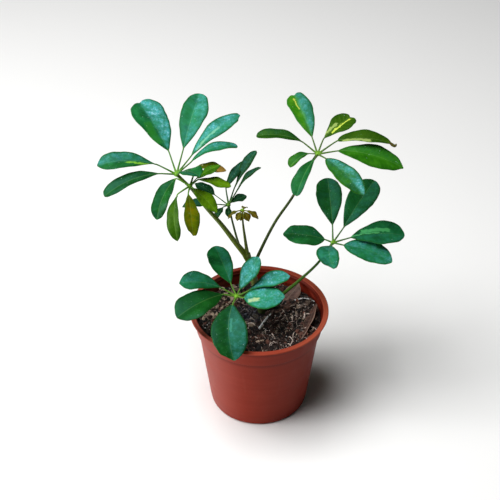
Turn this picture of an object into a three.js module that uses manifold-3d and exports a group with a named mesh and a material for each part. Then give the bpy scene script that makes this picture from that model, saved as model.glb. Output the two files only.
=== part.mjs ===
// A young umbrella plant with seven palmate leaves, growing in a thin plastic nursery pot.
// Millimetres, +Z up. The origin is the centre of the pot's foot, on the surface it stands on.
import * as THREE from "three";
import { mergeVertices } from "three/addons/utils/BufferGeometryUtils.js";
import Module from "manifold-3d";

const wasm = await Module();
wasm.setup();

// Clear space left between pieces that touch
const GAP = 0.3;

// Pot: a tapered body, a wider collar and a turned-out lip
const POT_HEIGHT = 107;
const RIM_RADIUS = 65;
const LIP_THICKNESS = 1.6;
const WALL = 1.3;
const FLOOR_THICKNESS = 1.6;
const COLLAR_TOP_RADIUS = 61.4;
const COLLAR_FOOT_RADIUS = 59.4;
const COLLAR_FOOT_HEIGHT = 88;
const COLLAR_CHAMFER = 0.8;
const COLLAR_STEP = 2;
const MOUTH_RADIUS = 60.3;
const MOUTH_STEP_HEIGHT = 104.6;
const MOUTH_STEP = 0.8;
const MOUTH_TAPER = 0.2;
const BASE_RADIUS = 46.8;
const BASE_EDGE_RADIUS = 2.5;
const POT_SEGMENTS = 40;

// Underside of the pot: a centre disc and a foot ring with a raised drain channel between them
const FOOT_DISC_RADIUS = 20;
const CHANNEL_INNER_RADIUS = 22;
const CHANNEL_OUTER_RADIUS = 37;
const FOOT_RING_RADIUS = 39;
const CHANNEL_HEIGHT = 3;
const DRAIN_HOLES = 8;
const DRAIN_RADIUS = 2.5;

// Potting soil
const SOIL_HEIGHT = 95;
const SOIL_RINGS = 8;
const SOIL_SEGMENTS = 32;
const SOIL_EDGE_SINK = 1.6;
const SOIL_CHIPS = 22;
const CHIP_SIZE = [1.6, 3.6];
const CHIP_SHAPE = [1.5, 1, 0.6];
const CHIP_TILT = 0.4;
const CHIP_RISE = 0.2;
const CHIP_MARGIN = 6;
const STEM_CLEARING = 11;

// Waves that add up to the soil's relief: height, then turns per millimetre along X and Y, and phase
const SOIL_WAVES = [
  [0.7, 0.018, 0.004, 0.1],
  [0.5, -0.008, 0.026, 0.2],
  [0.4, 0.06, -0.036, 0],
  [0.3, 0.03, 0.05, 0.3],
];

// Stem: from its root in the soil to the growing tip
const STEM_ROUTE = [
  [4, 8, 60],
  [3, 8, 95],
  [-1, 8, 116],
  [-6, 9, 140],
  [-11, 10, 163],
];
const STEM_ROOT_RADIUS = 4.4;
const STEM_TIP_RADIUS = 2.5;
const STEM_SCARS = [0.38, 0.54, 0.68, 0.82, 0.9];
const STEM_SCAR_HEIGHT = 0.45;
const STEM_SCAR_WIDTH = 0.03;

// Petioles: thicker where they clasp the stem, and full-grown thin from two thirds of their length
const PETIOLE_THINNING = 1.6;
const SHEATH_SWELL = 0.5;
const SHEATH_FALL = 14;
const HUB_SWELL = 0.6;

// Leaflet stalks, which run a little way into their blades
const STALK_RADIUS = 0.75;
const SMALL_STALK_RADIUS = 0.56;
const STALK_THINNING = 0.4;
const STALK_SINK = 1.5;

// Leaflet blades
const BLADE_THICKNESS = 0.7;
const BLADE_FOLD = 0.26;
const BLADE_CURL = 0.14;
const BLADE_BASE_TAPER = 0.95;
const BLADE_TIP_TAPER = 0.55;
const BLADE_BASE_HALF_WIDTH = 0.6;
const TIP_ROUND = 0.1;
const TIP_REACH = 6;
const EDGE_WAVE = 0.7;
const EDGE_WAVES = 1.7;
const EDGE_WAVE_PHASE = 0.3;
const SMALL_BLADE = 25;
const NARROW_BLADE = 19;

// Rows of points along a blade, by the longest blade that has so many
const BLADE_STEPS = [
  [13, 3],
  [SMALL_BLADE, 4],
  [45, 5],
  [Infinity, 6],
];

// Outlines: where the blade is widest, how much of the full outline it keeps, and how far its tip
// runs ahead of the lobes beside it, or behind them where it is notched
const OVAL = { widest: 0.52, kept: 0.97, tip: 0.8 };
const SPOON = { widest: 0.64, kept: 0.97, tip: 0.8 };
const NOTCHED = { widest: 0.66, kept: 0.91, tip: -2.4 };

// Each leaflet in a row: heading, pitch and length of its stalk, then heading, pitch, length and
// width of its blade, then the blade's droop, its sideways bend, its roll about the midrib and its
// outline.
// Headings turn from +X towards +Y and pitches rise from the horizontal, in degrees.
const LEAVES = [
  {
    name: "leaf_upper_left",
    colour: 0x2f7a52,
    petiole: [
      [-11.5, 12.5, 158],
      [-22, 16, 171],
      [-34.5, 20, 188],
      [-48.5, 24, 204.5],
      [-61.5, 28, 222],
      [-74, 30, 235.5],
    ],
    petioleRadius: [1.6, 1.2],
    leaflets: [
      [115, 38, 23, 124, 26, 58, 30, 20, 0, 4, NOTCHED],
      [72, 41, 24, 76, 27, 60, 26, 22, 0, 0, SPOON],
      [45, 32, 21, 41, 20, 61, 18, 48, 0, 8, SPOON],
      [36, 24, 17, 28, 8, 46, 11, 56, 0, 10, SPOON],
      [175, 28, 19, -168, 6, 53, 22, 40, 0, -14, SPOON],
      [-157, 16, 16, -154, -10, 54, 17, 46, 0, -14, SPOON],
      [-57, 38, 12, -55, 26, 36, 18, 36, 0, 0, OVAL],
    ],
  },
  {
    name: "leaf_young_left",
    colour: 0x7f9236,
    petiole: [
      [-9, 7.5, 152],
      [-21, 10, 174.5],
      [-33.5, 10.5, 194],
      [-47, 11.5, 212.5],
      [-61, 12, 235.3],
    ],
    petioleRadius: [1.5, 1.1],
    leaflets: [
      [163, 20, 14, -131, -50, 39, 17, 30, 40, 0, OVAL],
      [-130, -5, 16.5, -87, -55, 39, 16.5, 26, 30, 44, OVAL],
      [-96, -10, 10.5, -80, -55, 36, 14.5, 20, 0, -10, OVAL],
      [-53, 0, 5, -44, -32, 29, 16, 20, 0, 0, OVAL],
      [35, 20, 9.5, 0, -14, 29, 10, 20, 0, 0, OVAL],
      [55, 16, 9.6, 22, 21, 23.8, 12, 24, 0, 0, OVAL],
      [76, 15, 23.3, 7, -14, 26.2, 13, 34, 0, 10, OVAL],
    ],
  },
  {
    name: "leaf_back",
    colour: 0x2b5d3c,
    petiole: [
      [-9, 12, 147],
      [-18.5, 25, 160.5],
      [-24.5, 38, 175],
      [-29, 52, 187.5],
    ],
    petioleRadius: [1.3, 0.9],
    leaflets: [
      [-172, 10, 20, -166, 0, 23, 10, 14, 0, 0, OVAL],
      [-147, 0, 6, -124, -25, 14, 8, 14, 0, 0, OVAL],
      [-95, 10, 4, -86, -25, 11, 6, 14, 0, 0, OVAL],
      [147, 20, 16.5, 152, 15, 22, 11, 14, 0, 0, OVAL],
      [100, 32, 18.5, 61, 18, 34.5, 9.5, 18, -6, 0, OVAL],
      [72, 28, 19.2, 62, 22, 45.5, 8.5, 18, 0, 0, SPOON],
      [58, 30, 15.5, 46, 20, 34.5, 5, 36, -16, 0, SPOON],
      [50, 20, 3.8, 24, 10, 15.8, 10, 12, 0, 0, SPOON],
    ],
  },
  {
    name: "leaf_new",
    colour: 0x8a6a2a,
    petiole: [
      [-11, 10, 162],
      [-13, 11, 178],
      [-15, 12, 196],
      [-15.5, 12, 209.5],
    ],
    petioleRadius: [1.7, 0.8],
    leaflets: [
      [-151, 10, 4.5, -156, -33, 10, 5, 30, 0, 0, OVAL],
      [-120, 0, 3, -126, -50, 8, 4, 20, 0, 0, OVAL],
      [-87, -10, 2.6, -120, -60, 8, 4, 20, 0, 0, OVAL],
      [-61, 0, 3, -45, -50, 9, 4, 20, 0, 0, OVAL],
      [-27, 10, 4.5, -18, -33, 12, 5, 30, 0, 0, OVAL],
      [60, 25, 2.5, 70, 5, 6, 4, 20, 0, 0, OVAL],
    ],
  },
  {
    name: "leaf_upper_right",
    colour: 0x3a7f42,
    petiole: [
      [-6.5, 10, 145],
      [-1.5, 15, 156.5],
      [14, 22, 190],
      [30, 32, 212],
      [40, 40, 232],
      [51, 45, 248],
    ],
    petioleRadius: [1.5, 1.1],
    leaflets: [
      [108, 30, 17.5, 110, 22, 50, 24, 18, 0, 0, NOTCHED],
      [66, 30, 16.5, 36, 21, 36, 23, 20, 0, 8, NOTCHED],
      [23, 26, 21.5, -12, 4, 48, 16, 38, 0, 8, SPOON],
      [-7, 15, 18.5, -14, -8, 59, 30, 36, 0, 10, SPOON],
      [-52, 5, 11.5, -51, -14, 51, 23, 30, 0, 4, OVAL],
      [-107, 5, 8.5, -118, -20, 44, 16, 24, 14, 0, SPOON],
      [-166, 12, 8.2, -138, -12, 24, 9.5, 56, 0, -16, OVAL],
      [149, 26, 17.2, 179, 7, 42.5, 13, 46, 0, -12, SPOON],
    ],
  },
  {
    name: "leaf_right",
    colour: 0x23703f,
    petiole: [
      [3.5, 8.5, 99],
      [9.5, 10.5, 101],
      [23, 13, 114],
      [39, 17, 128.5],
      [54.5, 21, 144.5],
      [67.5, 25, 165],
    ],
    petioleRadius: [1.8, 1.1],
    leaflets: [
      [90, 30, 17.5, 94, 24, 52, 26, 16, 0, 0, SPOON],
      [49, 30, 18, 56, 22, 59, 26, 18, 0, 0, SPOON],
      [6, 16, 16.5, -4, 6, 50, 28, 34, 0, 12, SPOON],
      [-29, 6, 11, -19, -8, 47, 25, 34, 0, 10, OVAL],
      [-106, 10, 7.5, -96, 4, 39, 20, 44, 0, 0, OVAL],
      [163, 14, 8, -179, 9, 39, 25, 26, 0, -10, OVAL],
    ],
  },
  {
    name: "leaf_front",
    colour: 0x2a7d4d,
    petiole: [
      [-1, 7.5, 116],
      [-7, 0, 123],
      [-15, -11, 131],
      [-20.5, -18, 135.5],
    ],
    petioleRadius: [1.5, 1.2],
    leaflets: [
      [118, 30, 13, 115, 25, 41, 21, 16, 0, 0, SPOON],
      [58, 40, 6.5, 40, 48, 34.5, 17, 16, 0, 0, OVAL],
      [16, 20, 11, 17, 12, 41, 21, 38, 0, 10, SPOON],
      [-29, 12, 7.5, -2, 4, 37, 29, 24, 0, 8, OVAL],
      [-106, 0, 11.5, -93, -28, 54, 31, 26, 22, 0, OVAL],
      [-178, 12, 12.5, -144, -4, 50, 27, 34, 0, -10, OVAL],
      [158, 20, 14.5, -178, 10, 40, 24, 44, 0, -14, SPOON],
    ],
  },
];

// Fallen leaflets on the soil: where each starts, then heading, pitch, length, width, droop, roll
const DRY_LEAVES = [
  { name: "dry_leaf_back", start: [23, 21, 95.1], blade: [51, 20, 26, 15, -10, 8] },
  { name: "dry_leaf_middle", start: [14, 5.5, 96], blade: [34, 6, 23, 9, 6, -20] },
  { name: "dry_leaf_right", start: [40, -30, 96.6], blade: [71, 8, 43, 13, -8, -48] },
];

// Straws on the soil, from their thick end to their thin one
const STRAW_THINNING = 0.35;
const STRAWS = [
  { name: "straw_front", ends: [[0, -17, 96.2], [8, -2.5, 97.4], [13, 6, 96.8]], radius: 0.8 },
  { name: "straw_back", ends: [[34, 23, 96.4], [44, 24.5, 97.4], [53, 21, 96.6]], radius: 0.6 },
];

// Materials
const potPlastic = new THREE.MeshStandardMaterial({ color: 0xa8402c, roughness: 0.5 });
const soilMatter = new THREE.MeshStandardMaterial({ color: 0x33262a, roughness: 1 });
const stemBark = new THREE.MeshStandardMaterial({ color: 0x44552c, roughness: 0.7 });
const dryLeafSkin = new THREE.MeshStandardMaterial({ color: 0x6f5146, roughness: 0.8 });
const strawFibre = new THREE.MeshStandardMaterial({ color: 0xb9ab93, roughness: 0.9 });
const leafSkin = (colour) => new THREE.MeshStandardMaterial({ color: colour, roughness: 0.35 });

const radians = THREE.MathUtils.degToRad;
const vector = ([x, y, z]) => new THREE.Vector3(x, y, z);

// Repeatable random numbers from 0 to 1
function randomFrom(seed) {
  let state = seed;
  return () => {
    state = (Math.imul(state, 1664525) + 1013904223) >>> 0;
    return state / 4294967296;
  };
}

// A closed geometry as a solid that can be joined and cut
function solid(geometry) {
  const bare = geometry.clone();
  bare.deleteAttribute("normal");
  bare.deleteAttribute("uv");
  const merged = mergeVertices(bare, 1e-4);
  return new wasm.Manifold(
    new wasm.Mesh({
      numProp: 3,
      vertProperties: merged.attributes.position.array,
      triVerts: new Uint32Array(merged.index.array),
    }),
  );
}

// The largest body of a solid, without the scraps that a cut leaves
function largest(shape) {
  return shape.decompose().reduce((a, b) => (b.volume() > a.volume() ? b : a));
}

// A solid as a named mesh
function piece(name, shape, material) {
  const { vertProperties, triVerts } = shape.getMesh();
  const geometry = new THREE.BufferGeometry();
  geometry.setAttribute("position", new THREE.BufferAttribute(vertProperties, 3));
  geometry.setIndex(new THREE.BufferAttribute(triVerts, 1));
  geometry.computeVertexNormals();
  const mesh = new THREE.Mesh(geometry, material);
  mesh.name = name;
  return mesh;
}

// Closed skin over rings of points, each ring with the same number of points, ends fanned shut
function skin(rings) {
  const sides = rings[0].length;
  const positions = rings.flat().flatMap((p) => p.toArray());
  const index = [];
  for (let i = 0; i + 1 < rings.length; i++) {
    for (let j = 0; j < sides; j++) {
      const a = i * sides + j;
      const b = i * sides + ((j + 1) % sides);
      index.push(a, b, b + sides, a, b + sides, a + sides);
    }
  }
  const last = (rings.length - 1) * sides;
  for (let j = 1; j + 1 < sides; j++) {
    index.push(0, j + 1, j, last, last + j, last + j + 1);
  }
  const geometry = new THREE.BufferGeometry();
  geometry.setAttribute("position", new THREE.Float32BufferAttribute(positions, 3));
  geometry.setIndex(index);
  return geometry;
}

// A round tube along a curve, its radius given along it from 0 to 1, and its ends grown outwards
function tube(curve, radiusAt, steps, sides, grow = 0) {
  const frames = curve.computeFrenetFrames(steps, false);
  const rings = [];
  for (let i = 0; i <= steps; i++) {
    const centre = curve.getPointAt(i / steps);
    if (i === 0) centre.addScaledVector(frames.tangents[i], -grow);
    if (i === steps) centre.addScaledVector(frames.tangents[i], grow);
    const radius = radiusAt(i / steps) + grow;
    const ring = [];
    for (let j = 0; j < sides; j++) {
      const turn = (2 * Math.PI * j) / sides;
      const across = frames.normals[i].clone().multiplyScalar(radius * Math.cos(turn));
      const along = frames.binormals[i].clone().multiplyScalar(radius * Math.sin(turn));
      ring.push(centre.clone().add(across).add(along));
    }
    rings.push(ring);
  }
  return skin(rings);
}

// Unit vector for a heading and a pitch in degrees
function direction(heading, pitch) {
  const level = Math.cos(radians(pitch));
  const x = level * Math.cos(radians(heading));
  const y = level * Math.sin(radians(heading));
  return new THREE.Vector3(x, y, Math.sin(radians(pitch)));
}

// Half the blade's width at s, from 0 at its base to 1 at its tip
function halfWidth(s, width, { widest, kept }) {
  const stretch = Math.log(0.5) / Math.log(widest);
  const taper = THREE.MathUtils.lerp(BLADE_BASE_TAPER, BLADE_TIP_TAPER, s);
  const swell = Math.sin(Math.PI * (kept * s) ** stretch) ** taper;
  return Math.max((width / 2) * swell, BLADE_BASE_HALF_WIDTH);
}

// How far the tip's outline runs ahead at q, from -1 to 1 across the blade
function tipShift(q, width, { tip }) {
  const side = Math.abs(q);
  return side > 0.5 ? -(2 * side - 1) * TIP_ROUND * width : (1 - 2 * side) * tip;
}

// Rows along a blade, closer together towards both ends
const rowAt = (i, steps) => i / steps / 2 + (1 - Math.cos((Math.PI * i) / steps)) / 4;

// A blade: a thin arched sheet folded a little along its midrib, with a waved edge
function blade(base, heading, pitch, length, width, droop, bend, roll, outline, grow = 0) {
  const [, steps] = BLADE_STEPS.find(([longest]) => length < longest);
  const across = width < NARROW_BLADE ? 2 : 4;
  const skinHeight = BLADE_THICKNESS / 2 + grow;
  const middle = base.clone();
  const rows = [];
  let before = 0;
  for (let i = 0; i <= steps; i++) {
    const s = rowAt(i, steps);
    const turn = heading + bend * (s - 0.5);
    const ahead = direction(turn, pitch - droop * (s - 0.5));
    const half = (s + before) / 2 - 0.5;
    const midway = direction(heading + bend * half, pitch - droop * half);
    middle.addScaledVector(midway, length * (s - before));
    before = s;
    const left = new THREE.Vector3(0, 0, 1).cross(direction(turn, 0));
    left.applyAxisAngle(ahead, radians(roll));
    const up = ahead.clone().cross(left);
    const reach = halfWidth(s, width, outline) + grow;
    const top = [];
    const bottom = [];
    for (let j = 0; j <= across; j++) {
      const q = (2 * j) / across - 1;
      const side = Math.abs(q);
      const swing = Math.sin(2 * Math.PI * (EDGE_WAVES * s + EDGE_WAVE_PHASE * Math.sign(q)));
      const wave = EDGE_WAVE * side * side * swing * Math.sin(Math.PI * s);
      const rise = reach * (BLADE_FOLD * side - BLADE_CURL * side * side) + wave;
      const point = middle.clone().addScaledVector(left, q * reach);
      point.addScaledVector(up, rise);
      point.addScaledVector(ahead, tipShift(q, width, outline) * s ** TIP_REACH);
      top.push(point.clone().addScaledVector(up, skinHeight));
      bottom.push(point.clone().addScaledVector(up, -skinHeight));
    }
    rows.push({ top, bottom });
  }
  return sheet(rows);
}

// Closed sheet from rows of top and bottom points, both faces split along the same diagonals
function sheet(rows) {
  const across = rows[0].top.length;
  const ring = ({ top, bottom }) => [...top, ...bottom.slice().reverse()];
  const points = rows.map(ring);
  const sides = 2 * across;
  const positions = points.flat().flatMap((p) => p.toArray());
  const index = [];
  const topAt = (i, j) => i * sides + j;
  const bottomAt = (i, j) => i * sides + sides - 1 - j;
  const quad = (a, b, c, d) => index.push(a, b, c, a, c, d);
  for (let i = 0; i + 1 < rows.length; i++) {
    for (let j = 0; j + 1 < across; j++) {
      quad(topAt(i, j), topAt(i + 1, j), topAt(i + 1, j + 1), topAt(i, j + 1));
      index.push(bottomAt(i, j), bottomAt(i + 1, j + 1), bottomAt(i + 1, j));
      index.push(bottomAt(i, j), bottomAt(i, j + 1), bottomAt(i + 1, j + 1));
    }
    const j = across - 1;
    quad(bottomAt(i, 0), bottomAt(i + 1, 0), topAt(i + 1, 0), topAt(i, 0));
    quad(topAt(i, j), topAt(i + 1, j), bottomAt(i + 1, j), bottomAt(i, j));
  }
  const end = rows.length - 1;
  for (let j = 0; j + 1 < across; j++) {
    quad(bottomAt(0, j), topAt(0, j), topAt(0, j + 1), bottomAt(0, j + 1));
    quad(topAt(end, j), bottomAt(end, j), bottomAt(end, j + 1), topAt(end, j + 1));
  }
  const geometry = new THREE.BufferGeometry();
  geometry.setAttribute("position", new THREE.Float32BufferAttribute(positions, 3));
  geometry.setIndex(index);
  return geometry;
}

// One leaflet: its stalk from the hub and the blade that the stalk runs a little way into
function leaflet(hub, row) {
  const [stalkHeading, stalkPitch, stalkLength, ...bladeRow] = row;
  const [heading, pitch, length, , droop] = bladeRow;
  const end = hub.clone().addScaledVector(direction(stalkHeading, stalkPitch), stalkLength);
  const into = direction(heading, pitch + droop / 2);
  const inside = end.clone().addScaledVector(into, STALK_SINK);
  const route = new THREE.CatmullRomCurve3([hub, end, inside]);
  const radius = length < SMALL_BLADE ? SMALL_STALK_RADIUS : STALK_RADIUS;
  const stalk = tube(route, (s) => radius * (1 - STALK_THINNING * s), 3, 4);
  return [solid(stalk), solid(blade(end, ...bladeRow))];
}

// The petiole, swollen where it clasps the stem
function petiole({ petiole: points, petioleRadius: [start, end] }, grow = 0) {
  const route = new THREE.CatmullRomCurve3(points.map(vector));
  const radiusAt = (s) => {
    const plain = THREE.MathUtils.lerp(start, end, Math.min(1, PETIOLE_THINNING * s));
    return plain + SHEATH_SWELL * Math.exp(-SHEATH_FALL * s);
  };
  return tube(route, radiusAt, 2 * points.length, 6, grow);
}

// A whole compound leaf, cut clear of the stem that it clasps
function compoundLeaf(leaf, stemRoom) {
  const hub = vector(leaf.petiole.at(-1));
  const knot = new THREE.SphereGeometry(leaf.petioleRadius[1] + HUB_SWELL, 6, 4);
  knot.translate(hub.x, hub.y, hub.z);
  const parts = [solid(petiole(leaf)), solid(knot)];
  leaf.leaflets.forEach((row) => parts.push(...leaflet(hub, row)));
  const whole = parts.reduce((a, b) => a.add(b));
  return largest(whole.subtract(stemRoom));
}

// The stem, thinner towards its tip and swollen at its leaf scars
function stem(grow = 0) {
  const route = new THREE.CatmullRomCurve3(STEM_ROUTE.map(vector));
  const radiusAt = (s) => {
    const plain = THREE.MathUtils.lerp(STEM_ROOT_RADIUS, STEM_TIP_RADIUS, s);
    const swell = STEM_SCARS.map((at) => Math.exp(-(((s - at) / STEM_SCAR_WIDTH) ** 2)));
    return plain + STEM_SCAR_HEIGHT * Math.max(...swell);
  };
  return solid(tube(route, radiusAt, 24, 8, grow));
}

// Radius of the pot body's outside at a height
function bodyRadius(height) {
  const top = COLLAR_FOOT_RADIUS - COLLAR_STEP;
  return THREE.MathUtils.lerp(BASE_RADIUS, top, height / COLLAR_FOOT_HEIGHT);
}

// Points on a quarter or half circle, in degrees
function arc(x, y, radius, from, to, steps) {
  return Array.from({ length: steps + 1 }, (_, i) => {
    const turn = radians(THREE.MathUtils.lerp(from, to, i / steps));
    return [x + radius * Math.cos(turn), y + radius * Math.sin(turn)];
  });
}

// The floor's section from its middle outwards, raised by lift
function floorSection(lift) {
  return [
    [0, lift],
    [FOOT_DISC_RADIUS, lift],
    [CHANNEL_INNER_RADIUS, CHANNEL_HEIGHT + lift],
    [CHANNEL_OUTER_RADIUS, CHANNEL_HEIGHT + lift],
    [FOOT_RING_RADIUS, lift],
  ];
}

// Turned solid from a section of radius and height
function turned(section, segments) {
  const points = section.map(([x, y]) => new THREE.Vector2(x, y));
  return new THREE.LatheGeometry(points, segments).rotateX(Math.PI / 2);
}

function pot() {
  const edge = BASE_EDGE_RADIUS;
  const lip = LIP_THICKNESS / 2;
  const ledge = COLLAR_FOOT_HEIGHT + WALL;
  const section = [
    ...floorSection(0),
    ...arc(BASE_RADIUS - edge, edge, edge, -90, 0, 2),
    [bodyRadius(COLLAR_FOOT_HEIGHT), COLLAR_FOOT_HEIGHT],
    [COLLAR_FOOT_RADIUS, COLLAR_FOOT_HEIGHT + COLLAR_CHAMFER],
    [COLLAR_TOP_RADIUS, POT_HEIGHT - LIP_THICKNESS],
    ...arc(RIM_RADIUS - lip, POT_HEIGHT - lip, lip, -90, 90, 4),
    [MOUTH_RADIUS, POT_HEIGHT],
    [MOUTH_RADIUS - MOUTH_TAPER, MOUTH_STEP_HEIGHT],
    [MOUTH_RADIUS - MOUTH_STEP, MOUTH_STEP_HEIGHT - MOUTH_STEP],
    [COLLAR_FOOT_RADIUS - WALL, ledge + COLLAR_CHAMFER],
    [bodyRadius(ledge) - WALL, ledge],
    ...arc(BASE_RADIUS - edge, edge + FLOOR_THICKNESS / 2, edge - WALL, 0, -90, 2),
    ...floorSection(FLOOR_THICKNESS).reverse(),
  ];
  let shape = solid(turned(section, POT_SEGMENTS));
  const middle = (CHANNEL_INNER_RADIUS + CHANNEL_OUTER_RADIUS) / 2;
  for (let i = 0; i < DRAIN_HOLES; i++) {
    const turn = (2 * Math.PI * (i + 0.5)) / DRAIN_HOLES;
    const drill = new THREE.CylinderGeometry(DRAIN_RADIUS, DRAIN_RADIUS, 4 * CHANNEL_HEIGHT, 8);
    drill.rotateX(Math.PI / 2).translate(middle * Math.cos(turn), middle * Math.sin(turn), CHANNEL_HEIGHT);
    shape = shape.subtract(solid(drill));
  }
  return shape;
}

// Uneven height of the soil's surface, sunk a little at the wall
function soilRelief(x, y) {
  const waves = SOIL_WAVES.map(([height, alongX, alongY, phase]) => {
    return height * Math.sin(2 * Math.PI * (alongX * x + alongY * y + phase));
  });
  const edge = Math.max(0, Math.hypot(x, y) / COLLAR_FOOT_RADIUS - 0.8) / 0.2;
  return waves.reduce((a, b) => a + b) - SOIL_EDGE_SINK * edge;
}

function soil() {
  const inner = COLLAR_FOOT_RADIUS - WALL - GAP;
  const ledge = COLLAR_FOOT_HEIGHT + WALL;
  const cornerRadius = bodyRadius(BASE_EDGE_RADIUS) - WALL - 2 * GAP;
  const section = [
    ...floorSection(FLOOR_THICKNESS + 2 * GAP),
    [cornerRadius - BASE_EDGE_RADIUS, FLOOR_THICKNESS + 2 * GAP],
    [cornerRadius, FLOOR_THICKNESS + 2 * BASE_EDGE_RADIUS],
    [bodyRadius(ledge) - WALL - GAP, ledge + GAP],
    [inner, ledge + COLLAR_CHAMFER + GAP],
    ...Array.from({ length: SOIL_RINGS }, (_, i) => [inner * (1 - i / SOIL_RINGS), SOIL_HEIGHT]),
    [0, SOIL_HEIGHT],
  ];
  const bed = turned(section, SOIL_SEGMENTS);
  const position = bed.attributes.position;
  for (let i = 0; i < position.count; i++) {
    if (position.getZ(i) < SOIL_HEIGHT - 0.01) continue;
    position.setZ(i, SOIL_HEIGHT + soilRelief(position.getX(i), position.getY(i)));
  }
  return chips(solid(bed));
}

// Bark and peat chips, sunk in the soil's surface
function chips(bed) {
  const random = randomFrom(7);
  let shape = bed;
  for (let i = 0; i < SOIL_CHIPS; i++) {
    const reach = (COLLAR_FOOT_RADIUS - CHIP_MARGIN) * Math.sqrt(random());
    const turn = 2 * Math.PI * random();
    const size = THREE.MathUtils.lerp(...CHIP_SIZE, random() ** 2);
    const chip = new THREE.IcosahedronGeometry(1, 0);
    chip.scale(...CHIP_SHAPE.map((side) => side * size));
    chip.rotateX(CHIP_TILT * (2 * random() - 1));
    chip.rotateY(CHIP_TILT * (2 * random() - 1));
    chip.rotateZ(2 * Math.PI * random());
    const x = reach * Math.cos(turn);
    const y = reach * Math.sin(turn);
    if (Math.hypot(x - STEM_ROUTE[1][0], y - STEM_ROUTE[1][1]) < STEM_CLEARING) continue;
    chip.translate(x, y, SOIL_HEIGHT + soilRelief(x, y) + CHIP_RISE * size);
    shape = shape.add(solid(chip));
  }
  return shape;
}

// A fallen leaflet lying in the soil's surface
function dryLeaf({ start, blade: [heading, pitch, length, width, droop, roll] }, grow = 0) {
  const base = vector(start).addScaledVector(direction(heading, pitch + droop / 2), -grow);
  return solid(blade(base, heading, pitch, length + 2 * grow, width, droop, 0, roll, OVAL, grow));
}

// A loose straw lying on the soil
function straw({ ends, radius }, grow = 0) {
  const route = new THREE.CatmullRomCurve3(ends.map(vector));
  return solid(tube(route, (s) => radius * (1 - STRAW_THINNING * s), 6, 5, grow));
}

const stemShape = stem();
const stemRoom = stem(GAP);
const lowPetiole = solid(petiole(LEAVES.find(({ name }) => name === "leaf_right"), GAP));

// What lies on the soil, each with the room that it takes from the soil
const litter = [
  ...DRY_LEAVES.map((one) => ({ name: one.name, make: (grow) => dryLeaf(one, grow), look: dryLeafSkin })),
  ...STRAWS.map((one) => ({ name: one.name, make: (grow) => straw(one, grow), look: strawFibre })),
];

const plant = new THREE.Group();
plant.add(piece("pot", pot(), potPlastic));
const dug = soil().subtract(stemRoom).subtract(lowPetiole);
const bed = litter.reduce((shape, { make }) => shape.subtract(make(GAP)), dug);
plant.add(piece("soil", largest(bed), soilMatter));
plant.add(piece("stem", stemShape, stemBark));
LEAVES.forEach((leaf) => plant.add(piece(leaf.name, compoundLeaf(leaf, stemRoom), leafSkin(leaf.colour))));
litter.forEach(({ name, make, look }) => plant.add(piece(name, make(0), look)));

export default plant;
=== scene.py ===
"""A young umbrella plant in a plastic nursery pot: fine leaves, stalks, pot and soil over its frame."""
import math
import random
from collections import defaultdict

import bmesh
import bpy
import numpy as np
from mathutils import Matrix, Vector, noise


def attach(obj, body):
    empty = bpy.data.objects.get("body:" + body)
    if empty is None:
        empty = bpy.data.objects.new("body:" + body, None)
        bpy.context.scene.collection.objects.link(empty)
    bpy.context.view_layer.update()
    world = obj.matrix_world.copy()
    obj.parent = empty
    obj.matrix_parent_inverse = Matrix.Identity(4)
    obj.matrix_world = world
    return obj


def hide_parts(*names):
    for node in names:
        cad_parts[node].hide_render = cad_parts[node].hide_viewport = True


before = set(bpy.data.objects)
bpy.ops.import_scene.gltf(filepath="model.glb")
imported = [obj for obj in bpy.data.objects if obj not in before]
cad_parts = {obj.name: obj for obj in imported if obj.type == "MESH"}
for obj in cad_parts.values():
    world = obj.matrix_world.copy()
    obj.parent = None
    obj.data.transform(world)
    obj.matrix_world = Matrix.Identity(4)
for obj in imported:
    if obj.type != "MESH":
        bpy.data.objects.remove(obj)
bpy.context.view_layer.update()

# Tables and functions below are in millimetres, and every mesh is written in metres
MM = 0.001

# Pot
POT_HEIGHT = 107
RIM_RADIUS = 65
LIP_THICKNESS = 1.6
WALL = 1.3
FLOOR_THICKNESS = 1.6
COLLAR_TOP_RADIUS = 61.4
COLLAR_FOOT_RADIUS = 59.4
COLLAR_FOOT_HEIGHT = 88
COLLAR_STEP = 2
LEDGE_HEIGHT = COLLAR_FOOT_HEIGHT + WALL
MOUTH_RADIUS = 60.3
BASE_RADIUS = 46.8
BASE_EDGE_RADIUS = 2.5
POT_SEGMENTS = 192
FOOT_DISC_RADIUS = 20
CHANNEL_INNER_RADIUS = 22
CHANNEL_OUTER_RADIUS = 37
FOOT_RING_RADIUS = 39
CHANNEL_HEIGHT = 3
DRAIN_HOLES = 8
DRAIN_RADIUS = 2.5
DRILL_LENGTH = 12

# Soil. Each wave is a height, its turns for each millimetre along x and y, and where it starts.
# Lumps are a height, a level of the noise and its turns for each millimetre.
SOIL_HEIGHT = 95
SOIL_RADIUS = 57.8
SOIL_EDGE_SINK = 1.6
SOIL_RINGS = 56
SOIL_SEGMENTS = 168
SOIL_WAVES = [
    (0.7, 0.018, 0.004, 0.1),
    (0.5, -0.008, 0.026, 0.2),
    (0.4, 0.06, -0.036, 0),
    (0.3, 0.03, 0.05, 0.3),
]
SOIL_LUMPS = [(1.3, 3, 0.17), (1.4, 8, 0.42)]
SOIL_LOWERED = 0.3
SOIL_HEAP = (44, 16, 24)
SOIL_HEAP_HEIGHT = 3.0
OPEN_RADIUS = 56.5
OPEN_RINGS = 34
OPEN_SEGMENTS = 96
BARE_ROUND_STEM = 4.8
BARE_FROM = 56
BARE_FADE = 2
DAMP_MIDDLE = (-0.009, 0.003, 0.095)

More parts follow.
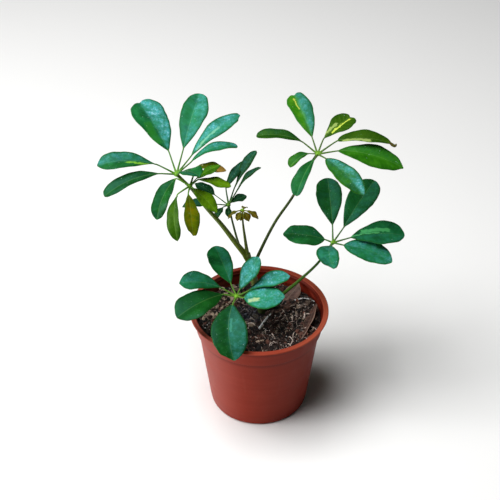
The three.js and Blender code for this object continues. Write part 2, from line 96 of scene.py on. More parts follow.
# Stem
STEM_ROUTE = [(4, 8, 60), (3, 8, 95), (-1, 8, 116), (-6, 9, 140), (-11, 10, 163)]
STEM_ROOT_RADIUS = 4.4
STEM_TIP_RADIUS = 2.7
STEM_SCARS = (0.38, 0.54, 0.68, 0.82, 0.9)
STEM_SCAR_HEIGHT = 0.45
STEM_SCAR_WIDTH = 0.03
STEM_GROOVE_DEPTH = 0.22
STEM_GROOVE_WIDTH = 0.007
STEM_STEPS = 150
STEM_SIDES = 28
STEM_BUMPS = [(260, 0.22), (700, 0.07)]

# Petioles and leaflet stalks
PETIOLE_THINNING = 1.2
SHEATH_SWELL = 0.5
SHEATH_FALL = 14
HUB_SWELL = 0.35
HUB_FALL = 26
PETIOLE_STEPS = 60
STALK_STEPS = 22
STALK_SIDES = 14
KNOT_SWELL = 1.1
KNOT_ROUGHNESS = 0.16
KNOT_FLATNESS = 0.85
KNOT_GREEN = (0.20, 0.48, 0.02)
STALK_RADIUS = 0.9
SMALL_STALK_RADIUS = 0.62
STALK_THINNING = 0.4
STALK_SINK = 1.5
STALK_END_SWELLS = (0.3, 0.12)
STALK_END_FALL = 9
SMALL_BLADE = 25

# Blades
BLADE_ROWS = 44
BLADE_COLUMNS = 24
BLADE_STRIDES = 240
BLADE_HALF_THICKNESS = 0.35
BLADE_FOLD = 0.34
BLADE_CREASE = 0.16
BLADE_CURL = 0.17
BLADE_BASE_HALF_WIDTH = 0.6
TIP_ROUND = 0.10
TIP_REACH = 6
EDGE_WAVE = 0.7
EDGE_WAVES = 1.7
EDGE_WAVE_PHASE = 0.3
EDGE_DRIFTS = (0.10, 0.045)
RIPPLE = 0.55
DRY_RIPPLE = 1.4
VEIN_SPACING = 4.4
VEIN_SLANT = 0.55
VEIN_RELIEF = 0.07
MIDRIB_GROOVE = 0.10
GROOVE_WIDTH = 0.7
MIDRIB_RIDGE = 0.40
RIDGE_WIDTH = 0.62
RIM_REACH = 0.12
FILM_AND_SHEEN_SOFTNESS = 1.8

# Outlines: where the blade is widest, how much of the full outline it keeps, how its width tapers at
# the base and at the tip, how far the tip runs ahead of the lobes beside it, and how far the right
# lobe runs ahead of the left one
OVAL = (0.52, 0.97, 0.85, 0.50, 0.6, 0)
BROAD = (0.55, 0.97, 0.72, 0.42, 0.6, -2.0)
ROUND = (0.51, 0.97, 0.68, 0.42, 0.4, 0)
SPOON = (0.62, 0.97, 0.62, 0.36, 0.2, 0)
PADDLE = (0.67, 0.97, 0.76, 0.42, 0.8, 0)
SKEWED = (0.63, 0.97, 0.62, 0.40, 1.4, -2.6)
TAILED = (0.58, 0.97, 0.62, 0.46, 1.6, 0)
SHOULDERED = (0.45, 0.97, 0.55, 0.50, 4.2, 0)
NOTCHED = (0.64, 0.92, 0.50, 0.46, -1.8, 2.2)
CLEFT = (0.66, 0.91, 0.62, 0.42, -2.0, 1.0)

# Leaf finishes: the body's colour, the lighter colour that mottles it, and whether the skin is waxy
# or still soft. Some greens are lighter or darker copies, picked per leaflet for how the lamps light
# it: jade paints light onto leaflets in shade, and dusk is a darker copy that paints shade.
WAXY, SOFT = 0, 1
FINISHES = {
    "deep": ((0.005, 0.058, 0.005), (0.012, 0.105, 0.013), WAXY),
    "mid": ((0.007, 0.090, 0.010), (0.016, 0.150, 0.024), WAXY),
    "sea": ((0.006, 0.112, 0.017), (0.015, 0.180, 0.040), WAXY),
    "jade": ((0.009, 0.155, 0.023), (0.022, 0.245, 0.058), WAXY),
    "dusk": ((0.004, 0.050, 0.004), (0.009, 0.086, 0.010), WAXY),
    "green": ((0.016, 0.114, 0.003), (0.034, 0.175, 0.006), SOFT),
    "bright": ((0.030, 0.190, 0.004), (0.080, 0.280, 0.007), WAXY),
    "laurel": ((0.010, 0.058, 0.002), (0.018, 0.080, 0.004), SOFT),
    "olive": ((0.020, 0.072, 0.002), (0.036, 0.100, 0.003), SOFT),
    "moss": ((0.017, 0.058, 0.002), (0.034, 0.090, 0.003), SOFT),
    "fresh": ((0.036, 0.135, 0.002), (0.066, 0.190, 0.003), SOFT),
    "lime": ((0.090, 0.212, 0.003), (0.130, 0.262, 0.005), SOFT),
    "tawny": ((0.125, 0.192, 0.002), (0.215, 0.160, 0.003), SOFT),
    "amber": ((0.070, 0.100, 0.002), (0.140, 0.100, 0.005), SOFT),
    "bronze": ((0.105, 0.080, 0.004), (0.210, 0.110, 0.006), SOFT),
    "shade": ((0.007, 0.050, 0.014), (0.013, 0.074, 0.024), SOFT),
    "dead": ((0.055, 0.022, 0.015), (0.125, 0.058, 0.042), WAXY),
    "rotten": ((0.026, 0.008, 0.005), (0.078, 0.028, 0.018), WAXY),
}

# Colours of streaks and spots, and how strongly they cover
YELLOW = (0.46, 0.56, 0.07, 0.95)
LEMON = (0.20, 0.46, 0.03, 0.8)
STRAW_GREEN = (0.36, 0.48, 0.14, 0.65)
LEAF_GREEN = (0.024, 0.190, 0.008, 0.55)
DARK_GREEN = (0.007, 0.085, 0.020, 0.85)
CREAM = (0.50, 0.60, 0.24, 0.95)
FROST = (0.30, 0.58, 0.36, 0.5)
PALE_GREEN = (0.11, 0.58, 0.17, 0.62)
SUNBURN = (0.44, 0.24, 0.05, 0.8)
DEAD_TIP = (0.09, 0.05, 0.012, 0.95)
PALE_VEIN = (0.05, 0.24, 0.14, 0.5)
HOLE = (0.75, 0.66, 0.42, 0.9)
SHRIVELLED = (0.10, 0.075, 0.020)
MARKS = ("first mark", "second mark")
NO_MARK = ((0, 0, 0, 0), 0, 1, 900, 901)

# Colours that the finishes blend in
TONES = {
    "leaf shade": (0.003, 0.032, 0.004),
    "midrib": (0.20, 0.36, 0.09),
    "leaf edge": (0.06, 0.22, 0.03),
    "water speck": (0.26, 0.60, 0.42),
    "film_and_sheen": (0.050, 0.33, 0.335),
    "frosted film and sheen": (0.42, 0.73, 0.88),
    "dried drop": (0.42, 0.66, 0.56),
    "underside": (0.05, 0.16, 0.04),
    "vein below": (0.10, 0.22, 0.06),
    "stalk line": (0.12, 0.18, 0.03),
    "stalk dot": (0.20, 0.19, 0.08),
    "young bark": (0.100, 0.130, 0.006),
    "older bark": (0.050, 0.075, 0.004),
    "shaded low bark": (0.026, 0.058, 0.010),
    "bark dot": (0.13, 0.14, 0.05),
    "leaf scar": (0.100, 0.090, 0.035),
    "plastic": (0.218, 0.019, 0.007),
    "plastic swirl": (0.234, 0.023, 0.010),
    "dusty plastic": (0.34, 0.070, 0.046),
    "dried run": (0.40, 0.14, 0.10),
    "painted left sheen": (0.60, 0.38, 0.36),
    "painted right shade": (0.080, 0.006, 0.002),
    "splash": (0.10, 0.05, 0.04),
    "painted collar shadow": (0.070, 0.006, 0.003),
    "painted lip shadow": (0.060, 0.006, 0.003),
    "lip wear and painted highlight": (0.44, 0.105, 0.056),
    "inner wall": (0.40, 0.105, 0.070),
    "soil stain and painted shade": (0.024, 0.011, 0.008),
    "wet crumb": (0.006, 0.007, 0.013),
    "wet glint": (0.30, 0.33, 0.42),
    "peat": (0.006, 0.004, 0.004),
    "loose peat": (0.040, 0.019, 0.014),
    "dry peat": (0.085, 0.050, 0.036),
    "wet peat": (0.007, 0.008, 0.012),
    "dry vein": (0.20, 0.13, 0.09),
    "dry edge": (0.30, 0.19, 0.14),
    "straw": (0.62, 0.62, 0.64),
    "bleached straw with painted light": (0.98, 0.98, 1.0),
}

# Each leaflet: heading, pitch and length of its stalk, then heading, pitch, length, widths left and
# right of the midrib, droop, bend, roll and outline of its blade, its finish, the share of pale film
# on its left and right half (partly dusty bloom, partly painted sheen that also paints light onto
# leaflets in shade) and up to two marks. A mark is a colour, how far left of the midrib its middle
# runs, its half width, and where it starts and ends along the blade.
# Headings turn from +X towards +Y and pitches rise from the horizontal, in degrees.
ROW_BEFORE_MARKS = 13
UPPER_LEFT = {
    "name": "upper_left_leaf",
    "node": "leaf_upper_left",
    "slot": "leaf_green",
    "petiole": [
        (-11.5, 12.5, 158), (-22, 16, 171), (-34.5, 20, 188),
        (-48.5, 24, 204.5), (-61.5, 28, 222), (-74, 30, 235.5),
    ],
    "radius": (2.65, 1.35),
    "stalk colours": ((0.095, 0.125, 0.003), (0.050, 0.100, 0.004), (0.055, 0.180, 0.020)),
    "leaflets": [
        (115, 38, 23, 124, 26, 58, (16, 16.5), 20, 0, 4, NOTCHED, "sea", (0.05, 1),
         (LEAF_GREEN, 6.0, 5.0, 8, 34)),
        (72, 41, 24, 76, 27, 60, (11.5, 13), 22, 0, 0, SPOON, "sea", (0.15, 0.55)),
        (45, 32, 21, 41, 20, 61, (8, 9.4), 48, 0, 8, SKEWED, "sea", (0.95, 0.55), (FROST, -1.3, 1.4, 7, 38)),
        (26, 32, 16.9, 16, 12, 46, (6, 6), 68, -6, 4, SPOON, "sea", (0.75, 0.30)),
        (175, 28, 19, -168, 6, 53, (10, 11.5), 40, 0, -14, PADDLE, "mid", (0.05, 0.5),
         (LEMON, 2.9, 1.2, 1, 31)),
        (-157, 16, 16, -154, -10, 54, (6, 8.5), 46, 0, -14, SPOON, "dusk", (0.03, 0.04)),
        (-57, 38, 12, -55, 21, 32.5, (10.5, 9), 36, 0, 0, OVAL, "mid", (0.1, 0.2)),
    ],
}
YOUNG_LEFT = {
    "name": "young_left_leaf",
    "node": "leaf_young_left",
    "slot": "leaf_young",
    "petiole": [(-9, 7.5, 152), (-21, 10, 174.5), (-33.5, 10.5, 194), (-47, 11.5, 212.5), (-61, 12, 235.3)],
    "radius": (1.5, 1.1),
    "stalk colours": ((0.085, 0.105, 0.005), (0.065, 0.110, 0.006), (0.110, 0.290, 0.020)),
    "leaflets": [
        (163, 20, 14, -129, -50, 40, (8.5, 8.5), 30, 40, 0, ROUND, "deep", (0, 0.06)),
        (-130, -5, 16.5, -86, -55, 40, (6.5, 8.5), 26, 50, 44, OVAL, "olive", (0, 0)),
        (-96, -10, 10.5, -78, -55, 36, (7.4, 6.2), 20, 0, -10, BROAD, "tawny", (0, 0)),
        (-53, 0, 5, -40, -26, 30, (7.5, 7.5), 20, 0, 0, OVAL, "lime", (0, 0)),
        (35, 20, 9.5, 0, -14, 29, (6.5, 7.5), 20, 0, 0, SPOON, "lime", (0, 0)),
        (55, 16, 9.6, 22, 21, 23.8, (4.5, 6.5), 24, 0, 0, OVAL, "fresh", (0, 0)),
        (76, 15, 23.3, 7, -14, 26.2, (5.5, 6.5), 34, 0, 10, OVAL, "amber", (0, 0),
         (SUNBURN, 0, 9, 17, 900), (HOLE, 1.6, 0.9, 4, 6.5)),
    ],
}
BACK = {
    "name": "back_leaf",
    "node": "leaf_back",
    "slot": "leaf_dark",
    "petiole": [(-9, 12, 147), (-18.5, 25, 160.5), (-24.5, 38, 175), (-29, 52, 187.5)],
    "radius": (1.3, 0.9),
    "stalk colours": ((0.050, 0.065, 0.008), (0.010, 0.035, 0.012), (0.030, 0.110, 0.040)),
    "leaflets": [
        (-172, 10, 20, -166, 0, 23, (5, 8), 14, 0, 0, OVAL, "shade", (0.1, 0.1)),
        (-147, 0, 6, -124, -25, 14, (3, 4), 14, 0, 0, OVAL, "shade", (0.1, 0.1)),
        (-95, 10, 4, -86, -25, 11, (3, 3), 14, 0, 0, OVAL, "shade", (0.1, 0.1)),
        (147, 20, 16.5, 152, 15, 22, (5.5, 7), 14, 0, 0, OVAL, "shade", (0.1, 0.1)),
        (100, 32, 18.5, 61, 18, 34.5, (4, 5.5), 18, -6, 0, OVAL, "shade", (0.25, 0.15)),
        (72, 28, 19.2, 62, 22, 45.5, (6, 3.4), 18, 0, 0, PADDLE, "shade", (0.25, 0.15)),
        (58, 30, 15.5, 46, 20, 34.5, (4.2, 1.6), 36, -16, 0, PADDLE, "shade", (0.25, 0.15)),
        (50, 20, 3.8, 24, 10, 15.8, (6.5, 5), 12, 0, 0, SPOON, "shade", (0.1, 0.1)),
    ],
}
NEWEST = {
    "name": "newest_leaf",
    "node": "leaf_new",
    "slot": "leaf_bronze",
    "petiole": [(-11, 10, 162), (-13, 11, 178), (-15, 12, 196), (-15.5, 12, 209.5)],
    "radius": (1.7, 0.8),
    "stalk colours": ((0.070, 0.085, 0.006), (0.045, 0.055, 0.006), (0.130, 0.130, 0.010)),
    "leaflets": [
        (-151, 12, 4.5, -156, -30, 11, (2.2, 2.2), 50, 0, 0, OVAL, "bronze", (0, 0)),
        (-120, 4, 3.4, -122, -50, 8, (3, 3), 30, 0, 0, OVAL, "bronze", (0, 0)),
        (-87, -6, 2.6, -112, -60, 7.4, (2.8, 2.8), 20, 0, 0, OVAL, "bronze", (0, 0)),
        (-61, 4, 3.4, -48, -46, 9, (3.6, 3.6), 30, 0, 0, OVAL, "bronze", (0, 0)),
        (-27, 12, 4.5, -18, -30, 12.5, (3.5, 3.5), 50, 0, 0, OVAL, "bronze", (0, 0)),
        (60, 20, 2, 74, -24, 7, (2.8, 2.8), 50, 0, 0, OVAL, "bronze", (0, 0)),
    ],
}
UPPER_RIGHT = {
    "name": "upper_right_leaf",
    "node": "leaf_upper_right",
    "slot": "leaf_variegated",
    "petiole": [
        (-6.5, 10, 145), (-1.5, 15, 156.5), (14, 22, 190), (30, 32, 212), (40, 40, 232), (51, 45, 248),
    ],
    "radius": (1.5, 1.1),
    # Painted shade: the petiole's colours are darkened, most towards the hub, for the shade of the leaflets
    # over it
    "stalk colours": ((0.030, 0.048, 0.006), (0.007, 0.015, 0.004), (0.060, 0.130, 0.018)),
    "shrivelled tip": [(113.6, 43, 261.2), (116.2, 42.8, 259.4), (118.8, 42.4, 258.4), (119.8, 42.8, 260.4)],
    "leaflets": [
        (108, 30, 17.5, 110, 22, 51, (11, 11), 18, 0, 0, NOTCHED, "bright", (0, 0.5),
         (DARK_GREEN, -7.6, 7.2, -9, 900), (YELLOW, 2.0, 0.9, 31, 47)),
        (66, 30, 16.5, 36, 21, 34, (10, 10.5), 20, 0, 8, CLEFT, "olive", (0, 0),
         (YELLOW, -1.7, 1.0, 8, 33), (STRAW_GREEN, 2.4, 1.5, 3, 20)),
        (23, 26, 21.5, -12, 4, 48, (10, 5), 38, 0, 8, SHOULDERED, "moss", (0, 0),
         (STRAW_GREEN, -2.8, 2.1, 4, 32), (DEAD_TIP, 0, 9, 45.5, 900)),
        (-7, 15, 18.5, -14, -8, 59, (12.5, 15.5), 36, 0, 10, TAILED, "green", (0.05, 0),
         (DEAD_TIP, 0, 9, 58.5, 900)),
        (-52, 5, 11.5, -51, -14, 51, (9.5, 11.5), 30, 0, 4, ROUND, "green", (0.9, 0.15)),
        (-107, 5, 8.5, -114, -20, 44, (4.5, 8), 24, 14, 0, SPOON, "mid", (0.05, 0.0)),
        (-166, 12, 8.2, -138, -12, 24, (2.5, 6), 56, 0, -16, SPOON, "green", (0.1, 0.1)),
        (149, 26, 17.2, 179, 7, 42.5, (5, 8), 46, 0, -12, SPOON, "laurel", (0, 0.05)),
    ],
}
RIGHT = {
    "name": "right_leaf",
    "node": "leaf_right",
    "slot": "leaf_green",
    "petiole": [
        (3.5, 8.5, 99), (9.5, 10.5, 101), (23, 13, 114),
        (39, 17, 128.5), (54.5, 21, 144.5), (67.5, 25, 165),
    ],
    "radius": (1.8, 1.1),
    "stalk colours": ((0.050, 0.150, 0.010), (0.020, 0.066, 0.008), (0.050, 0.160, 0.025)),
    "leaflets": [
        (90, 30, 17.5, 94, 24, 52, (13, 11.5), 16, 0, 0, SPOON, "deep", (0.05, 0.12)),
        (49, 30, 18, 56, 22, 59, (13, 13), 18, 0, 10, SPOON, "mid", (0.03, 0.18)),
        (6, 16, 16.5, -4, 6, 50, (14, 14), 34, 0, 12, SPOON, "sea", (0.08, 0.2),
         (PALE_GREEN, 3.6, 2.2, 9, 38), (PALE_GREEN, 0.7, 0.7, 0, 28)),
        (-29, 6, 11, -21, -8, 47, (12.5, 13.5), 34, 0, 10, ROUND, "jade", (0.6, 0.35)),
        (-106, 10, 7.5, -90, 4, 38, (8.5, 11), 44, 40, 0, BROAD, "sea", (0.38, 0.32)),
        (163, 14, 8, -179, 9, 39, (16, 12), 26, 0, -6, ROUND, "mid", (0.05, 0.1)),
    ],
}
FRONT = {
    "name": "front_leaf",
    "node": "leaf_front",
    "slot": "leaf_green",
    "petiole": [(-1, 7.5, 116), (-7, 0, 123), (-15, -11, 131), (-20.5, -18, 135.5)],
    "radius": (1.5, 1.2),
    "stalk colours": ((0.055, 0.075, 0.008), (0.060, 0.110, 0.010), (0.090, 0.230, 0.020)),
    "leaflets": [
        (118, 30, 13, 115, 25, 41, (12.5, 9.5), 16, 0, 0, SPOON, "jade", (0.05, 0.5)),
        (58, 40, 6.5, 40, 48, 34.5, (9.5, 9.5), 16, 0, 0, SPOON, "mid", (0.8, 0.7)),
        (16, 20, 11, 17, 12, 41, (9, 8), 38, 0, 10, PADDLE, "jade", (1.5, 1.2)),
        (-29, 12, 7.5, -2, 4, 37, (10.5, 18), 24, 0, 8, ROUND, "jade", (0.85, 0.6),
         (CREAM, -5.6, 3.1, 4, 16)),
        (-106, 0, 11.5, -87, -28, 54, (16.5, 15), 26, 42, 0, BROAD, "dusk", (0.30, 0.02),
         (PALE_VEIN, 2.2, 1.2, 14, 30)),
        (-178, 12, 12.5, -144, -4, 50, (14.5, 14.5), 34, 0, -10, SPOON, "dusk", (0.0, 0.02)),
        (158, 20, 14.5, -178, 10, 40, (9, 11.5), 44, 0, -14, PADDLE, "sea", (0.2, 0.3)),
    ],
}
LEAVES = [UPPER_LEFT, YOUNG_LEFT, BACK, NEWEST, UPPER_RIGHT, RIGHT, FRONT]

# Fallen leaflets: start, then heading, pitch, length, widths, droop, bend, roll and outline, and finish
DRY_LEAVES = [
    ("fallen_leaf_back", "dry_leaf_back", (23, 21, 95.1),
     (51, 20, 26, (7.5, 7.5), -10, 0, 8, OVAL), "dead"),
    ("fallen_leaf_middle", "dry_leaf_middle", (14, 5.5, 96),
     (34, 6, 23, (4.5, 4.5), 6, 0, -20, OVAL), "dead"),
    ("fallen_leaf_right", "dry_leaf_right", (40, -30, 97.0),
     (71, 9, 43, (6.5, 6.5), -8, 0, -48, OVAL), "rotten"),
]

# Straws, from their thick end to their thin one, and the thick end's radius
STRAWS = [
    ("twig_front", "straw_front", [(0, -17, 96.3), (8, -2.5, 97.7), (13, 6, 96.9)], 1.1),
    ("straw_behind", "straw_back", [(34, 23, 97.6), (44, 24.5, 98.8), (53, 21, 98.0)], 0.6),
]
STRAW_THINNING = 0.35
STRAW_ROUGHNESS = 0.22

# Where chips and fibres gather: how many lie anywhere, then the middle, radius and strength of patches
WOODY = (0.22, [(-30, 23, 10, 4.6), (-46, 2, 9, 2.4), (-24, 45, 9, 1.5)])
HAIRY = (0.45, [(38, -12, 15, 0.6), (20, -32, 17, 1.3), (2, -16, 9, 1), (20, -6, 10, 0.9)])


# Meshes

def new_piece(name, mesh):
    """An object at the origin for a mesh."""
    piece = bpy.data.objects.new(name, mesh)
    bpy.context.scene.collection.objects.link(piece)
    return piece


def mesh_of(name, points, faces, edges=(), unit=MM, smooth=True):
    """A mesh from points in millimetres or another unit, and faces and edges of point numbers."""
    mesh = bpy.data.meshes.new(name)
    mesh.from_pydata((np.asarray(points) * unit).tolist(), edges, faces)
    mesh.polygons.foreach_set("use_smooth", [smooth] * len(faces))
    return mesh


def mesh_from(work, name):
    """A mesh from a bmesh, which is done with."""
    mesh = bpy.data.meshes.new(name)
    work.to_mesh(mesh)
    work.free()
    return mesh


def ring_faces(rings, sides, first=0):
    """Four-sided faces between closed rings of points."""
    faces = []
    for i in range(rings - 1):
        for j in range(sides):
            a = first + i * sides + j
            b = first + i * sides + (j + 1) % sides
            faces.append((a, b, b + sides, a + sides))
    return faces


def face_outwards(mesh):
    """Turns every face of a closed mesh to point outwards."""
    work = bmesh.new()
    work.from_mesh(mesh)
    bmesh.ops.recalc_face_normals(work, faces=work.faces)
    work.to_mesh(mesh)
    work.free()


def write_values(mesh, name, values):
    """Stores a number, vector or colour at each point of a mesh."""
    values = np.asarray(values, np.float32)
    sorts = {1: ("FLOAT", "value"), 3: ("FLOAT_VECTOR", "vector"), 4: ("FLOAT_COLOR", "color")}
    kind, field = sorts[values[0].size]
    mesh.attributes.new(name, kind, "POINT").data.foreach_set(field, values.ravel())


def repeated(value, count):
    """The same value for each of many points."""
    return np.tile(value, (count, 1))


def join(pieces):
    """Joins pieces into the first of them."""
    first = pieces[0]
    with bpy.context.temp_override(active_object=first, selected_editable_objects=pieces):
        bpy.ops.object.join()
    return first


def settle(piece):
    """A plain mesh from a piece whose modifiers shape it."""
    graph = bpy.context.evaluated_depsgraph_get()
    made = bpy.data.meshes.new_from_object(piece.evaluated_get(graph))
    name = piece.name
    bpy.data.objects.remove(piece)
    made.name = name
    return new_piece(name, made)


def smooth_path(points, count):
    """Evenly spaced points on a smooth curve through the given ones."""
    given = np.array(points, float)
    given = np.vstack([2 * given[0] - given[1], given, 2 * given[-1] - given[-2]])
    t = np.linspace(0, 1, 48, endpoint=False)[:, None]
    fine = []
    for a, b, c, d in zip(given, given[1:], given[2:], given[3:]):
        before, span, after = (np.linalg.norm(q - p) ** 0.5 for p, q in ((a, b), (b, c), (c, d)))
        leave = ((b - a) / before - (c - a) / (before + span) + (c - b) / span) * span
        arrive = ((c - b) / span - (d - b) / (span + after) + (d - c) / after) * span
        square = -3 * b + 3 * c - 2 * leave - arrive
        cube = 2 * b - 2 * c + leave + arrive
        fine.append(b + leave * t + square * t**2 + cube * t**3)
    fine = np.vstack(fine + [given[-2:-1]])
    run = np.concatenate([[0], np.cumsum(np.linalg.norm(np.diff(fine, axis=0), axis=1))])
    at = np.linspace(0, run[-1], count)
    return np.stack([np.interp(at, run, fine[:, axis]) for axis in range(3)], 1)


def headed(heading, pitch):
    """Unit vectors for headings and pitches in degrees."""
    heading, pitch = np.broadcast_arrays(np.radians(heading), np.radians(pitch))
    level = np.cos(pitch)
    return np.stack([level * np.cos(heading), level * np.sin(heading), np.sin(pitch)], -1)


# Node trees

class Value:
    """What a node gives, with sums written as usual."""

    def __init__(self, nodes, socket):
        self.nodes = nodes
        self.socket = socket

    def __add__(self, other):
        return self.nodes.calc("ADD", self, other)

    def __sub__(self, other):
        return self.nodes.calc("SUBTRACT", self, other)

    def __rsub__(self, other):
        return self.nodes.calc("SUBTRACT", other, self)

    def __mul__(self, other):
        return self.nodes.calc("MULTIPLY", self, other)

    def __truediv__(self, other):
        return self.nodes.calc("DIVIDE", self, other)

    def __pow__(self, other):
        return self.nodes.calc("POWER", self, other)

    def __abs__(self):
        return self.nodes.calc("ABSOLUTE", self)


class Nodes:
    """Adds nodes to a tree and feeds their sockets with values or with what other nodes give."""

    def __init__(self, tree):
        self.tree = tree

    def node(self, kind, inputs=None, **settings):
        node = self.tree.nodes.new(kind)
        for name, value in settings.items():
            setattr(node, name, value)
        for socket, value in (inputs or {}).items():
            self.feed(node.inputs[socket], value)
        return node

    def add(self, kind, inputs=None, output=0, **settings):
        """What a new node gives at one of its outputs."""
        return Value(self, self.node(kind, inputs, **settings).outputs[output])

    def feed(self, socket, value):
        if isinstance(value, Value):
            self.tree.links.new(value.socket, socket)
        elif socket.type == "RGBA" and len(value) == 3:
            socket.default_value = (*value, 1)
        else:
            socket.default_value = value

    def calc(self, operation, first, second=0.0):
        return self.add("ShaderNodeMath", {0: first, 1: second}, operation=operation)

    def scale(self, value, low, high):
        """A value from 0 to 1, spread from low to high."""
        return self.add("ShaderNodeMapRange", {"Value": value, "To Min": low, "To Max": high})


class Finish(Nodes):
    """A material, its colour so far, and the few steps that finishes are mixed from."""

    def __init__(self, name, **sockets):
        self.material = bpy.data.materials.new(name)
        self.material.use_nodes = True
        super().__init__(self.material.node_tree)
        self.shader = self.tree.nodes["Principled BSDF"]
        for socket, value in sockets.items():
            self.feed(self.shader.inputs[socket.replace("_", " ")], value)
        self.place = self.add("ShaderNodeTexCoord", output="Object")
        self.colour = None

    def step(self, value, low, high):
        """0 below low, 1 above high and a smooth rise between them."""
        inputs = {"Value": value, "From Min": low, "From Max": high}
        return self.add("ShaderNodeMapRange", inputs, interpolation_type="SMOOTHSTEP")

    def fall(self, value, low, high):
        """1 below low, 0 above high and a smooth fall between them."""
        return 1.0 - self.step(value, low, high)

    def blend(self, amount, first, second):
        """From the first colour at 0 to the second at 1."""
        return self.add("ShaderNodeMix", {0: amount, 6: first, 7: second}, 2, data_type="RGBA")

    def tint(self, tone, amount):
        """Blends a tone into the colour so far."""
        tone = TONES[tone] if isinstance(tone, str) else tone
        self.colour = self.blend(amount, self.colour, tone)

    def grain(self, size, detail=2.0, rough=0.5, place=None):
        """Noise from 0 to 1 with lumps of a size in millimetres."""
        inputs = {"Vector": place or self.place, "Scale": 1 / (size * MM)}
        inputs.update({"Detail": detail, "Roughness": rough})
        return self.add("ShaderNodeTexNoise", inputs, "Fac")

    def stretched(self, *scale):
        """The place on the object, squeezed along each axis."""
        return self.add("ShaderNodeMapping", {"Vector": self.place, "Scale": scale})

    def cells(self, size, feature="F1"):
        """Distance to the middle or the edge of cells of a size in millimetres."""
        inputs = {"Vector": self.place, "Scale": 1 / (size * MM)}
        return self.add("ShaderNodeTexVoronoi", inputs, "Distance", feature=feature)

    def spots(self, size, low, high):
        """Soft round spots, one in each cell of a size."""
        return self.fall(self.cells(size), low, high)

    def stored(self, name, output="Fac"):
        """What the mesh stores at its points."""
        return self.add("ShaderNodeAttribute", output=output, attribute_name=name)

    def parts(self, vector):
        return [Value(self, part) for part in self.node("ShaderNodeSeparateXYZ", {0: vector}).outputs]

    def damp_patch(self):
        """1 where the soil is wet, beside the stem, falling to 0 round it."""
        ends = {0: self.place, 1: DAMP_MIDDLE}
        away = self.add("ShaderNodeVectorMath", ends, "Value", operation="DISTANCE")
        return self.fall(away + self.grain(10, 3.0) * 0.012, 0.012, 0.025)

    def done(self, roughness, relief, strength, depth):
        """The finished material, with its relief as bumps of a depth in millimetres."""
        bumps = {"Height": relief, "Strength": strength, "Distance": depth * MM}
        self.feed(self.shader.inputs["Base Color"], self.colour)
        self.feed(self.shader.inputs["Roughness"], roughness)
        self.feed(self.shader.inputs["Normal"], self.add("ShaderNodeBump", bumps))
        return self.material


def side_veins(made, out, along, width):
    """1 on the side veins, which leave the midrib at a slant."""
    beside_vein = made.calc("PINGPONG", (along - out * VEIN_SLANT) / VEIN_SPACING, 0.5)
    return made.fall(beside_vein, 0.0, width)


def leaf_finish(name, sheen, shine):
    """Leaf skin with a midrib, veins, mottling, painted shade towards the base and edges, marks, dried water,
    a pale film of bloom and painted sheen, and a paler underside.
    """
    made = Finish(name, Specular_Tint=sheen, Specular_IOR_Level=shine)
    across, along, margin = made.parts(made.stored("place", "Vector"))
    out = abs(across)
    body = made.stored("body", "Color")
    light = made.stored("light", "Color")
    veins = side_veins(made, out, along + made.grain(6) * 2.0, 0.14) * made.step(margin, 0.4, 3.0)
    network = made.fall(made.cells(1.5, "DISTANCE_TO_EDGE"), 0.0, 0.12)
    rib_width = 0.62 - along * 0.006
    rib = made.fall(out, rib_width * 0.35, rib_width)

    made.colour = made.blend(made.step(made.grain(9, 3.0), 0.38, 0.68) * 0.75, body, light)
    made.tint("leaf shade", made.step(made.grain(17, 4.0, 0.6), 0.46, 0.72) * 0.68)
    # Painted shade: the blade is darkened towards its base and along its edges
    near_base = made.fall(along, 2.0, 18.0) * 0.45
    near_edge = made.fall(margin, 0.4, 4.5) * 0.55
    rim_tone = made.blend(0.35, TONES["leaf shade"], body)
    made.tint(rim_tone, made.calc("MAXIMUM", near_base, near_edge))
    made.tint(light, veins * 0.30)
    made.tint(light, network * 0.16)

    ragged = (made.grain(3.2, 3.0) - 0.5) * 4.4
    veered = across + ragged
    ahead = along + ragged * 1.4
    for mark in MARKS:
        centre, half, start = made.parts(made.stored(mark, "Vector"))
        cover = made.fall(abs(veered - centre) / half, 0.6, 1.1)
        cover = cover * made.step(ahead - start, 0.0, 1.5)
        cover = cover * made.step(made.stored(mark + " end") - ahead, 0.0, 2.5)
        colour = mark + " colour"
        made.tint(made.stored(colour, "Color"), cover * made.stored(colour, "Alpha"))

    made.tint(made.blend(0.55, light, TONES["midrib"]), rib * 0.28)
    made.tint("leaf edge", made.fall(margin, 0.10, 0.50) * 0.20)

    specks = made.spots(2.2, 0.06, 0.20) * made.step(made.grain(9), 0.44, 0.58)
    made.tint(made.blend(0.4, light, TONES["water speck"]), specks * 0.42)
    # Pale film, partly dusty bloom and partly painted sheen: a painted highlight of the lamps, set for each
    # half, that also lightens leaflets in shade
    film = made.step(made.grain(5, 5.0, 0.68), 0.34, 0.66)
    film_and_sheen = made.scale(film, 0.30, 0.95) + specks * 0.35
    film_and_sheen = film_and_sheen * made.step(margin, 0.0, 3.0)
    film_and_sheen = film_and_sheen * made.scale(made.step(made.grain(20, 3.0), 0.36, 0.60), 0.66, 1.08)
    film_and_sheen = film_and_sheen * made.stored("body", "Alpha")
    made.tint("film_and_sheen", film_and_sheen)
    made.tint("frosted film and sheen", made.step(made.grain(1.7, 4.0, 0.7), 0.46, 0.72) * film_and_sheen**2.0 * 0.85)
    drops = made.spots(3.6, 0.05, 0.13) * made.step(made.grain(14), 0.50, 0.62)
    made.tint("dried drop", drops * 0.6)

    under = made.stored("under")
    below = made.blend(0.6, light, TONES["underside"])
    made.tint(made.blend(veins * 0.35, below, TONES["vein below"]), under * 0.85)
    rough = made.scale(made.grain(5, 3.0), 0.30, 0.50) + film_and_sheen * 0.20 + under * 0.22
    relief = made.grain(1.6, 3.0) * 0.5 - veins * 0.55 - network * 0.12
    return made.done(rough, relief, 0.5, 0.16)


